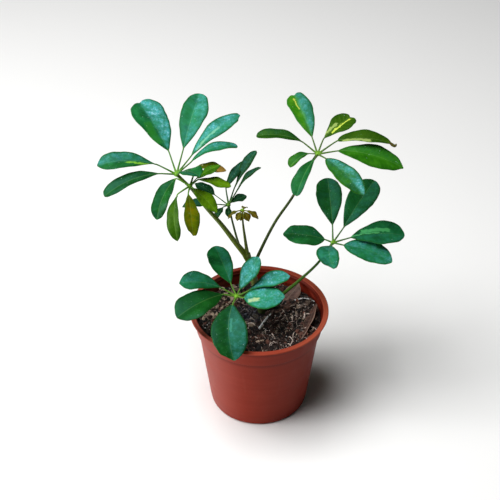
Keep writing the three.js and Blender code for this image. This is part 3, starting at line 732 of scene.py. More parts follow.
def stalk_finish():
    """Green stalk skin with fine lengthwise lines and small pale corky dots."""
    made = Finish("stalk skin", Specular_Tint=(0.7, 0.95, 0.8), Specular_IOR_Level=0.2)
    made.colour = made.stored("body", "Color")
    lines = made.grain(0.9, place=made.stretched(1, 1, 0.2))
    made.tint(made.blend(0.4, made.colour, TONES["stalk line"]), made.step(lines, 0.35, 0.75))
    dots = made.spots(1.7, 0.10, 0.24) * made.step(made.grain(8), 0.48, 0.6)
    made.tint("stalk dot", dots * 0.4)
    return made.done(made.scale(lines, 0.34, 0.55), lines * 0.6 + dots * 0.6, 0.5, 0.12)


def bark_finish():
    """Green-brown young bark, darker low down with painted shade under the leaves, with leaf scars and corky
    dots.
    """
    made = Finish("stem bark", Coat_Weight=0.04, Coat_Roughness=0.4)
    height = made.parts(made.place)[2]
    made.colour = made.blend(made.grain(7, 3.0), TONES["young bark"], TONES["older bark"])
    # Painted shade: the stem darkens towards the soil
    made.tint("shaded low bark", made.fall(height, 0.096, 0.135) * 0.8)
    dots = made.spots(2.0, 0.14, 0.30)
    made.tint("bark dot", dots * 0.35)
    made.tint("leaf scar", made.step(made.stored("scar"), 0.35, 0.9) * 0.65)
    rough = made.scale(made.grain(4), 0.42, 0.62)
    return made.done(rough, made.grain(2.2, 4.0, 0.65) + dots, 0.7, 0.25)


def pot_finish():
    """Satin moulded plastic with faint swirls and dust, a painted highlight on its left side and painted
    shade on its right, painted shadow lines under the collar and under the lip, a lip lighter from wear
    and a painted highlight, and an inner wall lightened by dust and painted light and darkened below the
    soil line by soil stain and painted shade."""
    made = Finish("pot plastic", Specular_IOR_Level=0.10)
    side, _, height = made.parts(made.place)
    inside = made.stored("inside")
    swirl = made.grain(16, place=made.stretched(0.25, 0.25, 4.0))
    made.colour = made.blend(made.step(swirl, 0.3, 0.75), TONES["plastic"], TONES["plastic swirl"])
    cloud = made.step(made.grain(26, 4.0, 0.55), 0.42, 0.72)
    made.tint("dusty plastic", cloud * 0.12)
    runs = made.grain(5, 4.0, 0.6, made.stretched(1.0, 1.0, 0.12))
    made.tint("dried run", made.step(runs, 0.55, 0.8) * 0.08)
    # Painted highlight: the left side is lightened for the sheen of the lamp on the left
    made.tint("painted left sheen", made.fall(side, -0.050, -0.010) * 0.09)
    # Painted shade: the right side, away from the lamps, is darkened
    made.tint("painted right shade", made.step(side, 0.005, 0.045) * 0.32)
    made.tint("splash", made.spots(7, 0.03, 0.07) * made.step(made.grain(20), 0.5, 0.6) * 0.6)
    # Painted shadow: a dark band on the body just under the collar's ledge
    made.tint("painted collar shadow", made.step(height, 0.0810, 0.0862) * made.fall(height, 0.0878, 0.0884) * 0.50)
    # Painted shadow: a dark band on the collar under the lip's overhang
    lip_shadow = made.step(height, 0.0985, 0.1030) * made.fall(height, 0.1050, 0.1054)
    made.tint("painted lip shadow", lip_shadow * (0.6 - inside))
    # Lighter lip top: partly wear, partly a painted highlight that is strongest on the right side
    wear_and_highlight = made.scale(made.step(side, 0.010, 0.055), 0.18, 0.48)
    made.tint("lip wear and painted highlight", wear_and_highlight * made.step(height, 0.1056, 0.1064))
    # Inner wall lightened to a paler red: partly dust, partly painted light against the shade inside the pot
    made.tint("inner wall", inside * 0.45)
    # Soil stain and painted shade on the inner wall below the soil line, raised higher on the right where the
    # wall lies in shade
    stain_and_shade_line = height - made.step(side, 0.028, 0.056) * 0.006
    stain_and_shade = inside * made.fall(stain_and_shade_line, 0.096, 0.101) * made.step(made.grain(6, 4.0, 0.6), 0.18, 0.5)
    made.tint("soil stain and painted shade", stain_and_shade * 0.95)
    rough = made.scale(made.grain(12, 4.0), 0.40, 0.54) + cloud * 0.08
    return made.done(rough, made.grain(0.8) * 0.3 + swirl * 0.05, 0.2, 0.12)


def crumbly_finish(name, dark, pale, share, damp):
    """Rough soil matter whose pieces differ in colour, with pale glints painted onto them in the damp patch.
    """
    made = Finish(name)
    fine = made.grain(1.1, 4.0, 0.7)
    mixed = made.stored("shade") * 0.65 + fine * 0.35
    made.colour = made.blend(made.step(mixed, 1 - share, 1.02 - share / 3), dark, pale)
    wet = made.damp_patch()
    # Painted highlight: bluish-white glints in the wet pieces' colour
    glint = made.blend(made.step(fine, 0.45, 0.75), TONES["wet crumb"], TONES["wet glint"])
    made.tint(glint, wet * damp)
    return made.done(0.92 - wet * (0.6 * damp), fine, 0.9, 0.5)


def soil_finish():
    """Peaty soil: dark, damp and fibrous, with paler dry patches."""
    made = Finish("potting soil")
    lumps = made.grain(3.2, 5.0, 0.7)
    fine = made.grain(0.9, 4.0, 0.7)
    made.colour = made.blend(made.step(lumps, 0.35, 0.7), TONES["peat"], TONES["loose peat"])
    made.tint("dry peat", made.step(made.grain(15, 3.0), 0.52, 0.68) * made.step(fine, 0.45, 0.7) * 0.6)
    wet = made.damp_patch()
    made.tint("wet peat", wet * 0.8)
    return made.done(made.scale(made.grain(11), 0.70, 0.98) - wet * 0.42, lumps + fine * 0.6, 1.0, 1.2)


def dry_leaf_finish():
    """Leathery dead leaf, brown with darker blotches and raised veins."""
    made = Finish("dry leaf skin")
    across, along, margin = made.parts(made.stored("place", "Vector"))
    out = abs(across)
    veins = side_veins(made, out, along, 0.12)
    blotches = made.step(made.grain(5, 4.0, 0.6), 0.4, 0.65)
    made.colour = made.blend(blotches, made.stored("body", "Color"), made.stored("light", "Color"))
    made.tint("dry vein", made.calc("MAXIMUM", veins, made.fall(out, 0.25, 0.6)) * 0.35)
    made.tint("dry edge", made.fall(margin, 0.1, 0.9) * 0.60)
    rough = made.scale(made.grain(4), 0.50, 0.78)
    return made.done(rough, veins * 0.6 + made.grain(1.3, 4.0, 0.6), 0.8, 0.3)


def straw_finish():
    """Weathered straw with lengthwise fibres, painted paler to stand in for light where the leaves shade it.
    """
    made = Finish("straw")
    fibres = made.grain(0.5, 3.0, 0.6, made.stored("grain", "Vector"))
    made.colour = made.blend(made.step(fibres, 0.35, 0.7), TONES["straw"], TONES["bleached straw with painted light"])
    return made.done(0.85, fibres, 0.8, 0.2)


LEAF_SKINS = [
    leaf_finish("waxy leaf skin", (0.25, 0.82, 0.85), 0.13),
    leaf_finish("soft leaf skin", (0.50, 0.95, 0.10), 0.11),
]
STALK_SKIN = stalk_finish()
STEM_BARK = bark_finish()
POT_PLASTIC = pot_finish()
SOIL = soil_finish()
CRUMBS = crumbly_finish("soil crumbs", (0.007, 0.005, 0.005), (0.170, 0.066, 0.044), 0.48, 0.90)
CHIPS = crumbly_finish("bark chips", (0.028, 0.013, 0.010), (0.540, 0.400, 0.300), 0.68, 0.8)
FIBRES = crumbly_finish("peat fibres", (0.040, 0.019, 0.014), (0.92, 0.75, 0.66), 0.42, 0.4)
FLECKS = crumbly_finish("pale flecks", (0.30, 0.26, 0.24), (0.86, 0.84, 0.84), 0.7, 0.4)
DRY_LEAF_SKIN = dry_leaf_finish()
STRAW_FIBRE = straw_finish()


# Geometry node trees

def geometry_tree(name, sockets):
    """A tree and its inputs by name."""
    tree = bpy.data.node_groups.new(name, "GeometryNodeTree")
    for label, kind in sockets.items():
        tree.interface.new_socket(label, in_out="INPUT", socket_type="NodeSocket" + kind)
    tree.interface.new_socket("Geometry", in_out="OUTPUT", socket_type="NodeSocketGeometry")
    made = Nodes(tree)
    return made, {socket.name: Value(made, socket) for socket in made.node("NodeGroupInput").outputs}


def end_tree(made, shape, finish):
    """Ends a tree with real geometry in its finish."""
    whole = made.add("GeometryNodeRealizeInstances", {0: shape})
    skin = made.add("GeometryNodeSetMaterial", {0: whole, "Material": finish})
    made.node("NodeGroupOutput", {0: skin})
    return made.tree


def tube_tree():
    """Round tubes along every chain of edges, as thick as each point's thickness says."""
    sockets = {"Geometry": "Geometry", "Sides": "Int", "Finish": "Material"}
    made, given = geometry_tree("tube along a path", sockets)
    path = made.add("GeometryNodeMeshToCurve", {0: given["Geometry"]})
    ring = made.add("GeometryNodeCurvePrimitiveCircle", {"Resolution": given["Sides"], "Radius": 1.0})
    thickness = made.add("GeometryNodeInputNamedAttribute", {"Name": "thickness"}, data_type="FLOAT")
    inputs = {0: path, 1: ring, "Scale": thickness, "Fill Caps": True}
    tube = made.add("GeometryNodeCurveToMesh", inputs)
    return end_tree(made, made.add("GeometryNodeSetShadeSmooth", {0: tube}), given["Finish"])


def scatter_tree():
    """Loose pieces strewn over a surface, more where it is open, each turned, leaned and sized."""
    sockets = {"Geometry": "Geometry", "Shapes": "Collection", "Where": "String", "Seed": "Int"}
    sockets.update({name: "Float" for name in ("Per Square Metre", "Smallest", "Largest", "Lean", "Lift")})
    made, given = geometry_tree("strew over the soil", {**sockets, "Finish": "Material"})
    seed = given["Seed"]
    room = made.add("GeometryNodeInputNamedAttribute", {"Name": given["Where"]}, data_type="FLOAT")
    inputs = {"Mesh": given["Geometry"], "Density": given["Per Square Metre"] * room, "Seed": seed}
    points = made.add("GeometryNodeDistributePointsOnFaces", inputs, "Points")
    lift = made.add("ShaderNodeCombineXYZ", {2: given["Lift"]})
    points = made.add("GeometryNodeSetPosition", {"Geometry": points, "Offset": lift})
    chance = made.add("FunctionNodeRandomValue", {"Seed": seed}, 1, data_type="FLOAT")
    size = made.scale(chance**2.2, given["Smallest"], given["Largest"])
    lean = given["Lean"]
    back = lean * -1.0
    least = made.add("ShaderNodeCombineXYZ", {0: back, 1: back, 2: -math.pi})
    most = made.add("ShaderNodeCombineXYZ", {0: lean, 1: lean, 2: math.pi})
    inputs = {0: least, 1: most, "Seed": seed}
    turn = made.add("FunctionNodeRandomValue", inputs, data_type="FLOAT_VECTOR")
    inputs = {"Collection": given["Shapes"], "Separate Children": True, "Reset Children": True}
    shapes = made.add("GeometryNodeCollectionInfo", inputs)
    inputs = {"Points": points, "Instance": shapes, "Pick Instance": True, "Rotation": turn, "Scale": size}
    strewn = made.add("GeometryNodeInstanceOnPoints", inputs)
    tone = made.add("FunctionNodeRandomValue", {"Seed": seed + 7.0}, 1, data_type="FLOAT")
    inputs = {"Geometry": strewn, "Name": "shade", "Value": tone}
    toned = made.add("GeometryNodeStoreNamedAttribute", inputs, data_type="FLOAT", domain="INSTANCE")
    return end_tree(made, toned, given["Finish"])


TUBES = tube_tree()
SCATTER = scatter_tree()


def run_tree(piece, tree, **values):
    """Shapes a piece with a tree and leaves a plain mesh."""
    modifier = piece.modifiers.new(tree.name, "NODES")
    modifier.node_group = tree
    for item in tree.interface.items_tree:
        key = item.name.replace(" ", "_").lower()
        if item.in_out == "INPUT" and key in values:
            modifier[item.identifier] = values[key]
    return settle(piece)


def tubes(name, chains, sides, finish):
    """Tubes along chains of points, each with its thickness and what its finish reads at every point."""
    edges = []
    start = 0
    for chain in chains:
        end = start + len(chain["points"])
        edges.extend((i, i + 1) for i in range(start, end - 1))
        start = end
    layers = {layer: np.concatenate([chain[layer] for chain in chains]) for layer in chains[0]}
    mesh = mesh_of(name, layers.pop("points"), [], edges)
    layers["thickness"] = layers["thickness"] * MM
    for layer, values in layers.items():
        write_values(mesh, layer, values)
    return run_tree(new_piece(name, mesh), TUBES, sides=sides, finish=finish)


def fade(first, last, shares):
    """Colours from the first to the last, without film or painted sheen."""
    shares = np.asarray(shares)[:, None]
    return np.array((*first, 0)) * (1 - shares) + np.array((*last, 0)) * shares


# Leaves

def share_of_width(s, outline):
    """How much of its full width a blade has at s, from 0 at its base to 1 at its tip."""
    widest, kept, base_taper, tip_taper = outline[:4]
    stretch = math.log(0.5) / math.log(widest)
    taper = base_taper + (tip_taper - base_taper) * s
    return np.sin(np.pi * (kept * s) ** stretch) ** taper


def tip_shift(q, width, outline):
    """How far the tip's outline runs ahead at q, from -1 to 1 across the blade."""
    rounded = TIP_ROUND * width * q**2
    return outline[4] * np.exp(-((q / 0.3) ** 2)) - outline[5] * q - rounded


def edge_drift(s, seed):
    """How much wider or narrower than its outline a blade's edge runs at s."""
    slow = noise.noise(Vector((3.4 * s, 5.1 * seed, 2)))
    quick = noise.noise(Vector((9.0 * s, 5.1 * seed, 6)))
    return 1 + EDGE_DRIFTS[0] * slow + EDGE_DRIFTS[1] * quick


def blade(base, row, seed, curl):
    """A blade's points, faces and the values that its skin reads."""
    heading, pitch, length, widths, droop, bend, roll, outline = row
    t = np.linspace(0, 1, BLADE_ROWS + 1)
    s = t / 2 + (1 - np.cos(np.pi * t)) / 4
    parts = np.linspace(0, 1, BLADE_STRIDES + 1)
    mids = (parts[1:] + parts[:-1]) / 2 - 0.5
    strides = headed(heading + bend * mids, pitch - droop * mids) * length / len(mids)
    track = np.asarray(base) + np.vstack([np.zeros(3), np.cumsum(strides, 0)])
    middle = np.stack([np.interp(s, parts, track[:, axis]) for axis in range(3)], 1)
    turn = heading + bend * (s - 0.5)
    ahead = headed(turn, pitch - droop * (s - 0.5))
    left = np.cross([0, 0, 1], headed(turn, 0))
    roll = math.radians(roll)
    left = left * math.cos(roll) + np.cross(ahead, left) * math.sin(roll)
    up = np.cross(ahead, left)

    t = np.linspace(-1, 1, BLADE_COLUMNS + 1)
    q = np.sign(t) * np.abs(t) ** 1.2
    side = np.abs(q)
    uneven = np.array([[edge_drift(a, seed), edge_drift(a, -seed)] for a in s])
    reach = np.where(q < 0, widths[1], widths[0]) * share_of_width(s, outline)[:, None]
    reach = reach * np.where(q < 0, uneven[:, 1:], uneven[:, :1])
    reach = np.maximum(reach, BLADE_BASE_HALF_WIDTH)
    out = side * reach
    s_grid = s[:, None]
    swing = np.sin(2 * np.pi * (EDGE_WAVES * s_grid + EDGE_WAVE_PHASE * np.sign(q)))
    crease = np.sqrt(side**2 + BLADE_CREASE**2) - BLADE_CREASE
    ripple = np.array([[noise.noise(Vector((a * 2.6, b * 1.3, seed * 3.7))) for b in q] for a in s])
    veins = np.cos(2 * np.pi * (s_grid * length - VEIN_SLANT * out) / VEIN_SPACING)
    rise = reach * (BLADE_FOLD * crease - BLADE_CURL * side**2)
    rise = rise + EDGE_WAVE * side**2 * swing * np.sin(np.pi * s_grid)
    rise = rise + (RIPPLE + curl) * ripple * side * np.sin(np.pi * s_grid)
    rise = rise + VEIN_RELIEF * veins * (side * (1 - side) * 4)
    groove = MIDRIB_GROOVE * np.exp(-((out / GROOVE_WIDTH) ** 2)) * (1 - 0.6 * s_grid)
    ridge = MIDRIB_RIDGE * np.exp(-((out / RIDGE_WIDTH) ** 2)) * (1 - 0.75 * s_grid)
    half = BLADE_HALF_THICKNESS * (1 - 0.45 * side**2) * np.ones_like(s_grid)

    def spread(amount, axis):
        return amount[..., None] * axis[:, None, :]

    flat = middle[:, None, :] + spread(q * reach, left) + spread(rise, up)
    flat = flat + spread(tip_shift(q, sum(widths), outline) * s_grid**TIP_REACH, ahead)
    top = flat + spread(half - groove, up)
    low = flat - spread(half + ridge, up)
    rim = RIM_REACH * left[:, None, :]
    ring = np.concatenate([top, flat[:, -1:] + rim, low[:, ::-1], flat[:, :1] - rim], 1)
    last = ring[-1].mean(0)
    closing = last + (ring[-1] - last) * 0.9 + ahead[-1] * RIM_REACH
    points = np.concatenate([ring, closing[None]], 0)

    rows, sides = points.shape[:2]
    faces = ring_faces(rows, sides)
    count = BLADE_COLUMNS + 1
    for start in (0, (rows - 1) * sides):
        for j in range(count - 1):
            a, b = start + j, start + 2 * count - j
            faces.append((a, a + 1, b - 1, b))
        faces.append((start + count - 1, start + count, start + count + 1))
        faces.append((start, start + 2 * count, start + sides - 1))

    def around(values):
        values = np.concatenate([values, values[:, -1:], values[:, ::-1], values[:, :1]], 1)
        return np.concatenate([values, values[-1:]], 0).ravel()

    along = np.broadcast_to(s_grid * length, reach.shape)
    place = np.stack([around(q * reach), around(along), around((1 - side) * reach)], 1)
    below = np.concatenate([np.zeros(count), [0.1], np.ones(count), [0.1]])
    return points.reshape(-1, 3), faces, place, np.tile(below, rows)


def blades(name, rows, skins):
    """One mesh for several blades: each row is a base, a shape, colours, film and painted sheen, marks and a
    curl.
    """
    faces, sorts = [], []
    layers = defaultdict(list)
    start = 0
    for number, (base, row, (dark, pale, sort), film_and_sheen, marks, curl) in enumerate(rows):
        points, more_faces, place, under = blade(base, row, number + len(name), curl)
        count = len(points)
        faces.extend(tuple(start + i for i in face) for face in more_faces)
        sorts.extend([sort] * len(more_faces))
        start += count
        # Share of pale film and painted sheen at each point, from the left half's share to the right half's
        leftwards = 0.5 + 0.5 * np.tanh(place[:, 0] / FILM_AND_SHEEN_SOFTNESS)
        film_and_sheen_share = film_and_sheen[1] + (film_and_sheen[0] - film_and_sheen[1]) * leftwards
        layers["points"].append(points)
        layers["place"].append(place)
        layers["under"].append(under)
        layers["body"].append(np.column_stack([repeated(dark, count), film_and_sheen_share]))
        layers["light"].append(repeated((*pale, 1), count))
        for mark, (tone, centre, half, begin, end) in zip(MARKS, [*marks, NO_MARK, NO_MARK]):
            layers[mark].append(repeated((centre, half, begin), count))
            layers[mark + " end"].append(np.full(count, end))
            layers[mark + " colour"].append(repeated(tone, count))
    mesh = mesh_of(name, np.concatenate(layers.pop("points")), faces)
    face_outwards(mesh)
    for layer, values in layers.items():
        write_values(mesh, layer, np.concatenate(values))
    for skin in skins:
        mesh.materials.append(skin)
    mesh.polygons.foreach_set("material_index", sorts)
    return new_piece(name, mesh)


def compound_leaf(leaf):
    """Petiole, hub, leaflet stalks and blades of one compound leaf."""
    low, high, stalk = leaf["stalk colours"]
    hub = np.array(leaf["petiole"][-1], float)
    first, last = leaf["radius"]
    s = np.linspace(0, 1, PETIOLE_STEPS)
    thick = first + (last - first) * np.minimum(1, PETIOLE_THINNING * s)
    thick = thick + SHEATH_SWELL * np.exp(-SHEATH_FALL * s) + HUB_SWELL * np.exp(-HUB_FALL * (1 - s))
    route = smooth_path(leaf["petiole"], PETIOLE_STEPS)
    chains = [{"points": route, "thickness": thick, "body": fade(low, high, s)}]
    knot_colour = fade(stalk, KNOT_GREEN, [0.75])[0]
    rows = []
    s = np.linspace(0, 1, STALK_STEPS)
    swells = STALK_END_SWELLS[0] * np.exp(-STALK_END_FALL * s)
    swells = swells + STALK_END_SWELLS[1] * np.exp(-STALK_END_FALL * (1 - s))
    colours = fade(knot_colour[:3], stalk, np.minimum(1, 3 * s))
    for leaflet in leaf["leaflets"]:
        stalk_heading, stalk_pitch, stalk_length, *shape, finish, film_and_sheen = leaflet[:ROW_BEFORE_MARKS]
        heading, pitch, length, _, droop = shape[:5]
        end = hub + headed(stalk_heading, stalk_pitch) * stalk_length
        inside = end + headed(heading, pitch + droop / 2) * STALK_SINK
        radius = SMALL_STALK_RADIUS if length < SMALL_BLADE else STALK_RADIUS
        thick = radius * (1 - STALK_THINNING * s) + swells
        route = smooth_path([hub, end, inside], STALK_STEPS)
        chains.append({"points": route, "thickness": thick, "body": colours})
        rows.append((end, shape, FINISHES[finish], film_and_sheen, leaflet[ROW_BEFORE_MARKS:], 0.0))
    if "shrivelled tip" in leaf:
        s = np.linspace(0, 1, 16)
        points = smooth_path(leaf["shrivelled tip"], 16)
        thick = 0.5 + 0.9 * np.sin(np.pi * s)
        chains.append({"points": points, "thickness": thick, "body": fade(DEAD_TIP[:3], SHRIVELLED, s)})
    stalks = tubes(leaf["name"] + "_stalks", chains, STALK_SIDES, STALK_SKIN)
    whole = join([blades(leaf["name"], rows, LEAF_SKINS), knot(hub, last, knot_colour), stalks])
    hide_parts(leaf["node"])
    return whole


def knot(hub, radius, colour):
    """The small swollen knot where a petiole fans out into its leaflet stalks."""
    work = bmesh.new()
    bmesh.ops.create_icosphere(work, subdivisions=3, radius=(radius + KNOT_SWELL) * MM)
    for point in work.verts:
        point.co *= 1 + KNOT_ROUGHNESS * noise.noise(point.co * 900)
        point.co.z *= KNOT_FLATNESS
        point.co += Vector(hub) * MM
    mesh = mesh_from(work, "knot")
    mesh.polygons.foreach_set("use_smooth", [True] * len(mesh.polygons))
    write_values(mesh, "body", repeated(colour, len(mesh.vertices)))
    mesh.materials.append(STALK_SKIN)
    return new_piece("knot", mesh)


# Stem

def main_stem():
    """The stem, thinner towards its tip, with ringed leaf scars."""
    s = np.linspace(0, 1, STEM_STEPS)

    def rings(width):
        return np.max([np.exp(-(((s - at) / width) ** 2)) for at in STEM_SCARS], 0)

    groove = rings(STEM_GROOVE_WIDTH)
    thick = STEM_ROOT_RADIUS + (STEM_TIP_RADIUS - STEM_ROOT_RADIUS) * s
    thick = thick + STEM_SCAR_HEIGHT * rings(STEM_SCAR_WIDTH) - STEM_GROOVE_DEPTH * groove
    chain = {"points": smooth_path(STEM_ROUTE, len(s)), "thickness": thick, "scar": groove}
    stem = tubes("main_stem", [chain], STEM_SIDES, STEM_BARK)
    for point in stem.data.vertices:
        wobble = sum(noise.noise(point.co * turns) * height for turns, height in STEM_BUMPS)
        point.co += point.normal * wobble * MM
    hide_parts("stem")
    return stem


# Pot

def arc(x, y, radius, start, end, steps):
    """Points on part of a circle, in degrees."""
    turns = np.radians(np.linspace(start, end, steps + 1))
    return [(x + radius * math.cos(turn), y + radius * math.sin(turn)) for turn in turns]


def body_radius(height):
    """Radius of the pot body's outside at a height."""
    top = COLLAR_FOOT_RADIUS - COLLAR_STEP
    return BASE_RADIUS + (top - BASE_RADIUS) * height / COLLAR_FOOT_HEIGHT


def collar_radius(height):
    """Radius of the collar's outside at a height."""
    share = (height - COLLAR_FOOT_HEIGHT) / (POT_HEIGHT - LIP_THICKNESS - COLLAR_FOOT_HEIGHT)
    return COLLAR_FOOT_RADIUS + (COLLAR_TOP_RADIUS - COLLAR_FOOT_RADIUS) * share


def floor_section(lift):
    """The floor's section from its middle outwards, with eased corners."""
    return [
        (0, lift),
        (FOOT_DISC_RADIUS - 0.4, lift),
        (FOOT_DISC_RADIUS, lift + 0.25),
        (CHANNEL_INNER_RADIUS - 0.3, CHANNEL_HEIGHT + lift - 0.35),
        (CHANNEL_INNER_RADIUS + 0.3, CHANNEL_HEIGHT + lift),
        (CHANNEL_OUTER_RADIUS - 0.3, CHANNEL_HEIGHT + lift),
        (CHANNEL_OUTER_RADIUS + 0.3, CHANNEL_HEIGHT + lift - 0.35),
        (FOOT_RING_RADIUS, lift + 0.25),
        (FOOT_RING_RADIUS + 0.4, lift),
    ]


def revolve(name, section, segments):
    """A closed mesh turned from a section that starts and ends on the axis."""
    turns = np.linspace(0, 2 * np.pi, segments, endpoint=False)
    points = [(0, 0, section[0][1]), (0, 0, section[-1][1])]
    for radius, height in section[1:-1]:
        points.extend((radius * math.cos(a), radius * math.sin(a), height) for a in turns)
    rings = len(section) - 2
    last = 2 + (rings - 1) * segments
    around = ring_faces(rings, segments, 2)
    faces = []
    # Segment by segment: another order can divide the drain holes' cut into other triangles
    for j in range(segments):
        k = (j + 1) % segments
        faces += [(0, 2 + k, 2 + j), (1, last + j, last + k)]
        faces += around[j::segments]
    mesh = mesh_of(name, points, faces)
    face_outwards(mesh)
    return mesh


def pot_section():
    """The pot's section: floor, body, collar, lip, stepped mouth and inner wall."""
    edge = BASE_EDGE_RADIUS
    lip = LIP_THICKNESS / 2
    foot = COLLAR_FOOT_HEIGHT
    section = floor_section(0)
    section += arc(BASE_RADIUS - edge, edge, edge, -90, 4, 8)
    section += [(body_radius(z), z) for z in np.linspace(8, foot - 1.4, 22)]
    section += [(body_radius(foot) + 0.05, foot - 0.5), (body_radius(foot) + 0.5, foot)]
    section += arc(COLLAR_FOOT_RADIUS - 0.6, foot + 0.6, 0.6, -90, 0, 5)
    section += [(collar_radius(z), z) for z in np.linspace(foot + 2, POT_HEIGHT - 4, 10)]
    section += arc(COLLAR_TOP_RADIUS + 0.9, POT_HEIGHT - LIP_THICKNESS - 0.9, 0.9, 180, 90, 5)
    section += arc(RIM_RADIUS - lip, POT_HEIGHT - lip, lip, -90, 90, 10)
    section += [(RIM_RADIUS - 1.6, POT_HEIGHT - 0.06), (RIM_RADIUS - 2.0, POT_HEIGHT - 0.16)]
    section += [(MOUTH_RADIUS + 1.5, POT_HEIGHT - 0.16), (MOUTH_RADIUS + 1.1, POT_HEIGHT - 0.02)]
    section += arc(MOUTH_RADIUS + 0.4, POT_HEIGHT - 0.4, 0.4, 90, 180, 4)
    section += [(MOUTH_RADIUS - 0.2, POT_HEIGHT - 2.2), (MOUTH_RADIUS - 0.35, POT_HEIGHT - 2.5)]
    section += arc(MOUTH_RADIUS - 0.6, POT_HEIGHT - 3.4, 0.5, 90, 180, 4)
    inner = COLLAR_FOOT_RADIUS - WALL
    section += [(inner + 0.9, POT_HEIGHT - 5), (inner + 1.05, POT_HEIGHT - 5.6)]
    section += [(inner + 0.7, POT_HEIGHT - 6.4), (inner + 0.35, POT_HEIGHT - 12), (inner, LEDGE_HEIGHT + 0.8)]
    section += [(body_radius(LEDGE_HEIGHT) - WALL, LEDGE_HEIGHT)]
    section += [(body_radius(z) - WALL, z) for z in np.linspace(LEDGE_HEIGHT - 2, 8, 12)]
    section += arc(BASE_RADIUS - edge, edge + FLOOR_THICKNESS / 2, edge - WALL, 0, -90, 4)
    section += reversed(floor_section(FLOOR_THICKNESS))
    return section


def drain_drills():
    """A piece for each drain hole to be cut with."""
    work = bmesh.new()
    middle = (CHANNEL_INNER_RADIUS + CHANNEL_OUTER_RADIUS) / 2 * MM
    size = {"radius1": DRAIN_RADIUS * MM, "radius2": DRAIN_RADIUS * MM, "depth": DRILL_LENGTH * MM}
    for number in range(DRAIN_HOLES):
        turn = 2 * math.pi * (number + 0.5) / DRAIN_HOLES
        drill = bmesh.ops.create_cone(work, cap_ends=True, segments=28, **size)
        centre = Vector((middle * math.cos(turn), middle * math.sin(turn), CHANNEL_HEIGHT * MM))
        bmesh.ops.translate(work, verts=drill["verts"], vec=centre)
    return new_piece("drills", mesh_from(work, "drills"))


def nursery_pot():
    """The pot with its eight drain holes."""
    pot = new_piece("nursery_pot", revolve("nursery_pot", pot_section(), POT_SEGMENTS))
    drills = drain_drills()
    cut = pot.modifiers.new("drain holes", "BOOLEAN")
    cut.operation = "DIFFERENCE"
    cut.solver = "EXACT"
    cut.object = drills
    pot = settle(pot)
    bpy.data.objects.remove(drills)
    inside = []
    for point in pot.data.vertices:
        x, y, z = point.co / MM
        within = math.hypot(x, y) < body_radius(min(z, POT_HEIGHT)) - WALL / 2
        inside.append(1.0 if z > FLOOR_THICKNESS and within else 0.0)
    write_values(pot.data, "inside", inside)
    pot.data.materials.clear()
    pot.data.materials.append(POT_PLASTIC)
    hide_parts("pot")
    return pot


# Soil

def patch(x, y, centre_x, centre_y, radius):
    """1 in the middle of a patch, falling to 0 outside it."""
    return math.exp(-(((x - centre_x) ** 2 + (y - centre_y) ** 2) / radius**2))


def soil_relief(x, y):
    """Height of the soil's surface."""
    waves = sum(
        height * math.sin(2 * math.pi * (along_x * x + along_y * y + phase))
        for height, along_x, along_y, phase in SOIL_WAVES
    )
    edge = max(0, math.hypot(x, y) / COLLAR_FOOT_RADIUS - 0.8) / 0.2
    lumps = sum(height * noise.noise(Vector((x, y, level)) * turns) for height, level, turns in SOIL_LUMPS)
    heap = SOIL_HEAP_HEIGHT * patch(x, y, *SOIL_HEAP)
    return SOIL_HEIGHT + waves - SOIL_EDGE_SINK * edge + lumps * (1 - 0.5 * edge) + heap - SOIL_LOWERED


def room_for_crumbs(x, y):
    """1 on open soil, 0 against the wall and round the stem."""
    stem = math.hypot(x - STEM_ROUTE[1][0], y - STEM_ROUTE[1][1])
    wall = math.hypot(x, y)
    return min(1, max(0, stem - BARE_ROUND_STEM)) * min(1, max(0, (BARE_FROM - wall) / BARE_FADE))


def soil_bed():
    """The soil as a closed body with an uneven top."""
    lift = FLOOR_THICKNESS + 0.6
    corner = body_radius(BASE_EDGE_RADIUS) - WALL - 0.6
    section = floor_section(lift)
    section += [(corner - BASE_EDGE_RADIUS, lift), (corner, FLOOR_THICKNESS + 2 * BASE_EDGE_RADIUS)]
    section += [(body_radius(LEDGE_HEIGHT) - WALL - 0.3, LEDGE_HEIGHT + 0.3)]
    section += [(SOIL_RADIUS, LEDGE_HEIGHT + 1.1)]
    section += [(SOIL_RADIUS * (1 - i / SOIL_RINGS), SOIL_HEIGHT) for i in range(SOIL_RINGS + 1)]
    mesh = revolve("soil_bed", section, SOIL_SEGMENTS)
    for point in mesh.vertices:
        if point.co.z > (SOIL_HEIGHT - 0.01) * MM:
            x, y = point.co.x / MM, point.co.y / MM
            rough = 0.35 * noise.noise(Vector((x, y, 1)) * 1.1)
            point.co.z = (soil_relief(x, y) + rough) * MM
    mesh.materials.append(SOIL)
    bed = new_piece("soil_bed", mesh)
    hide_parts("soil")
    return bed


def open_top():
    """A thin copy of the soil's top that loose pieces are strewn on, with where each sort lies."""
    points = []
    for i in range(OPEN_RINGS + 1):
        radius = OPEN_RADIUS * max(i, 0.02) / OPEN_RINGS
        for j in range(OPEN_SEGMENTS):
            turn = 2 * math.pi * j / OPEN_SEGMENTS
            x, y = radius * math.cos(turn), radius * math.sin(turn)
            points.append((x, y, soil_relief(x, y)))
    mesh = mesh_of("open_top", points, ring_faces(OPEN_RINGS + 1, OPEN_SEGMENTS))
    for name, (anywhere, patches) in {"room": (1, []), "woody": WOODY, "hairy": HAIRY}.items():
        shares = []
        for x, y, _ in points:
            gathered = sum((patch(x, y, *spot) * strength for *spot, strength in patches), anywhere)
            shares.append(room_for_crumbs(x, y) * gathered)
        write_values(mesh, name, shares)
    return mesh


def crumb(number):
    """A lump about 1 unit across with few faces."""
    work = bmesh.new()
    bmesh.ops.create_icosphere(work, subdivisions=1, radius=0.5)
    chance = random.Random(number)
    for point in work.verts:
        point.co *= chance.uniform(0.65, 1.2)
        point.co.z *= 0.8
    return mesh_from(work, "crumb")


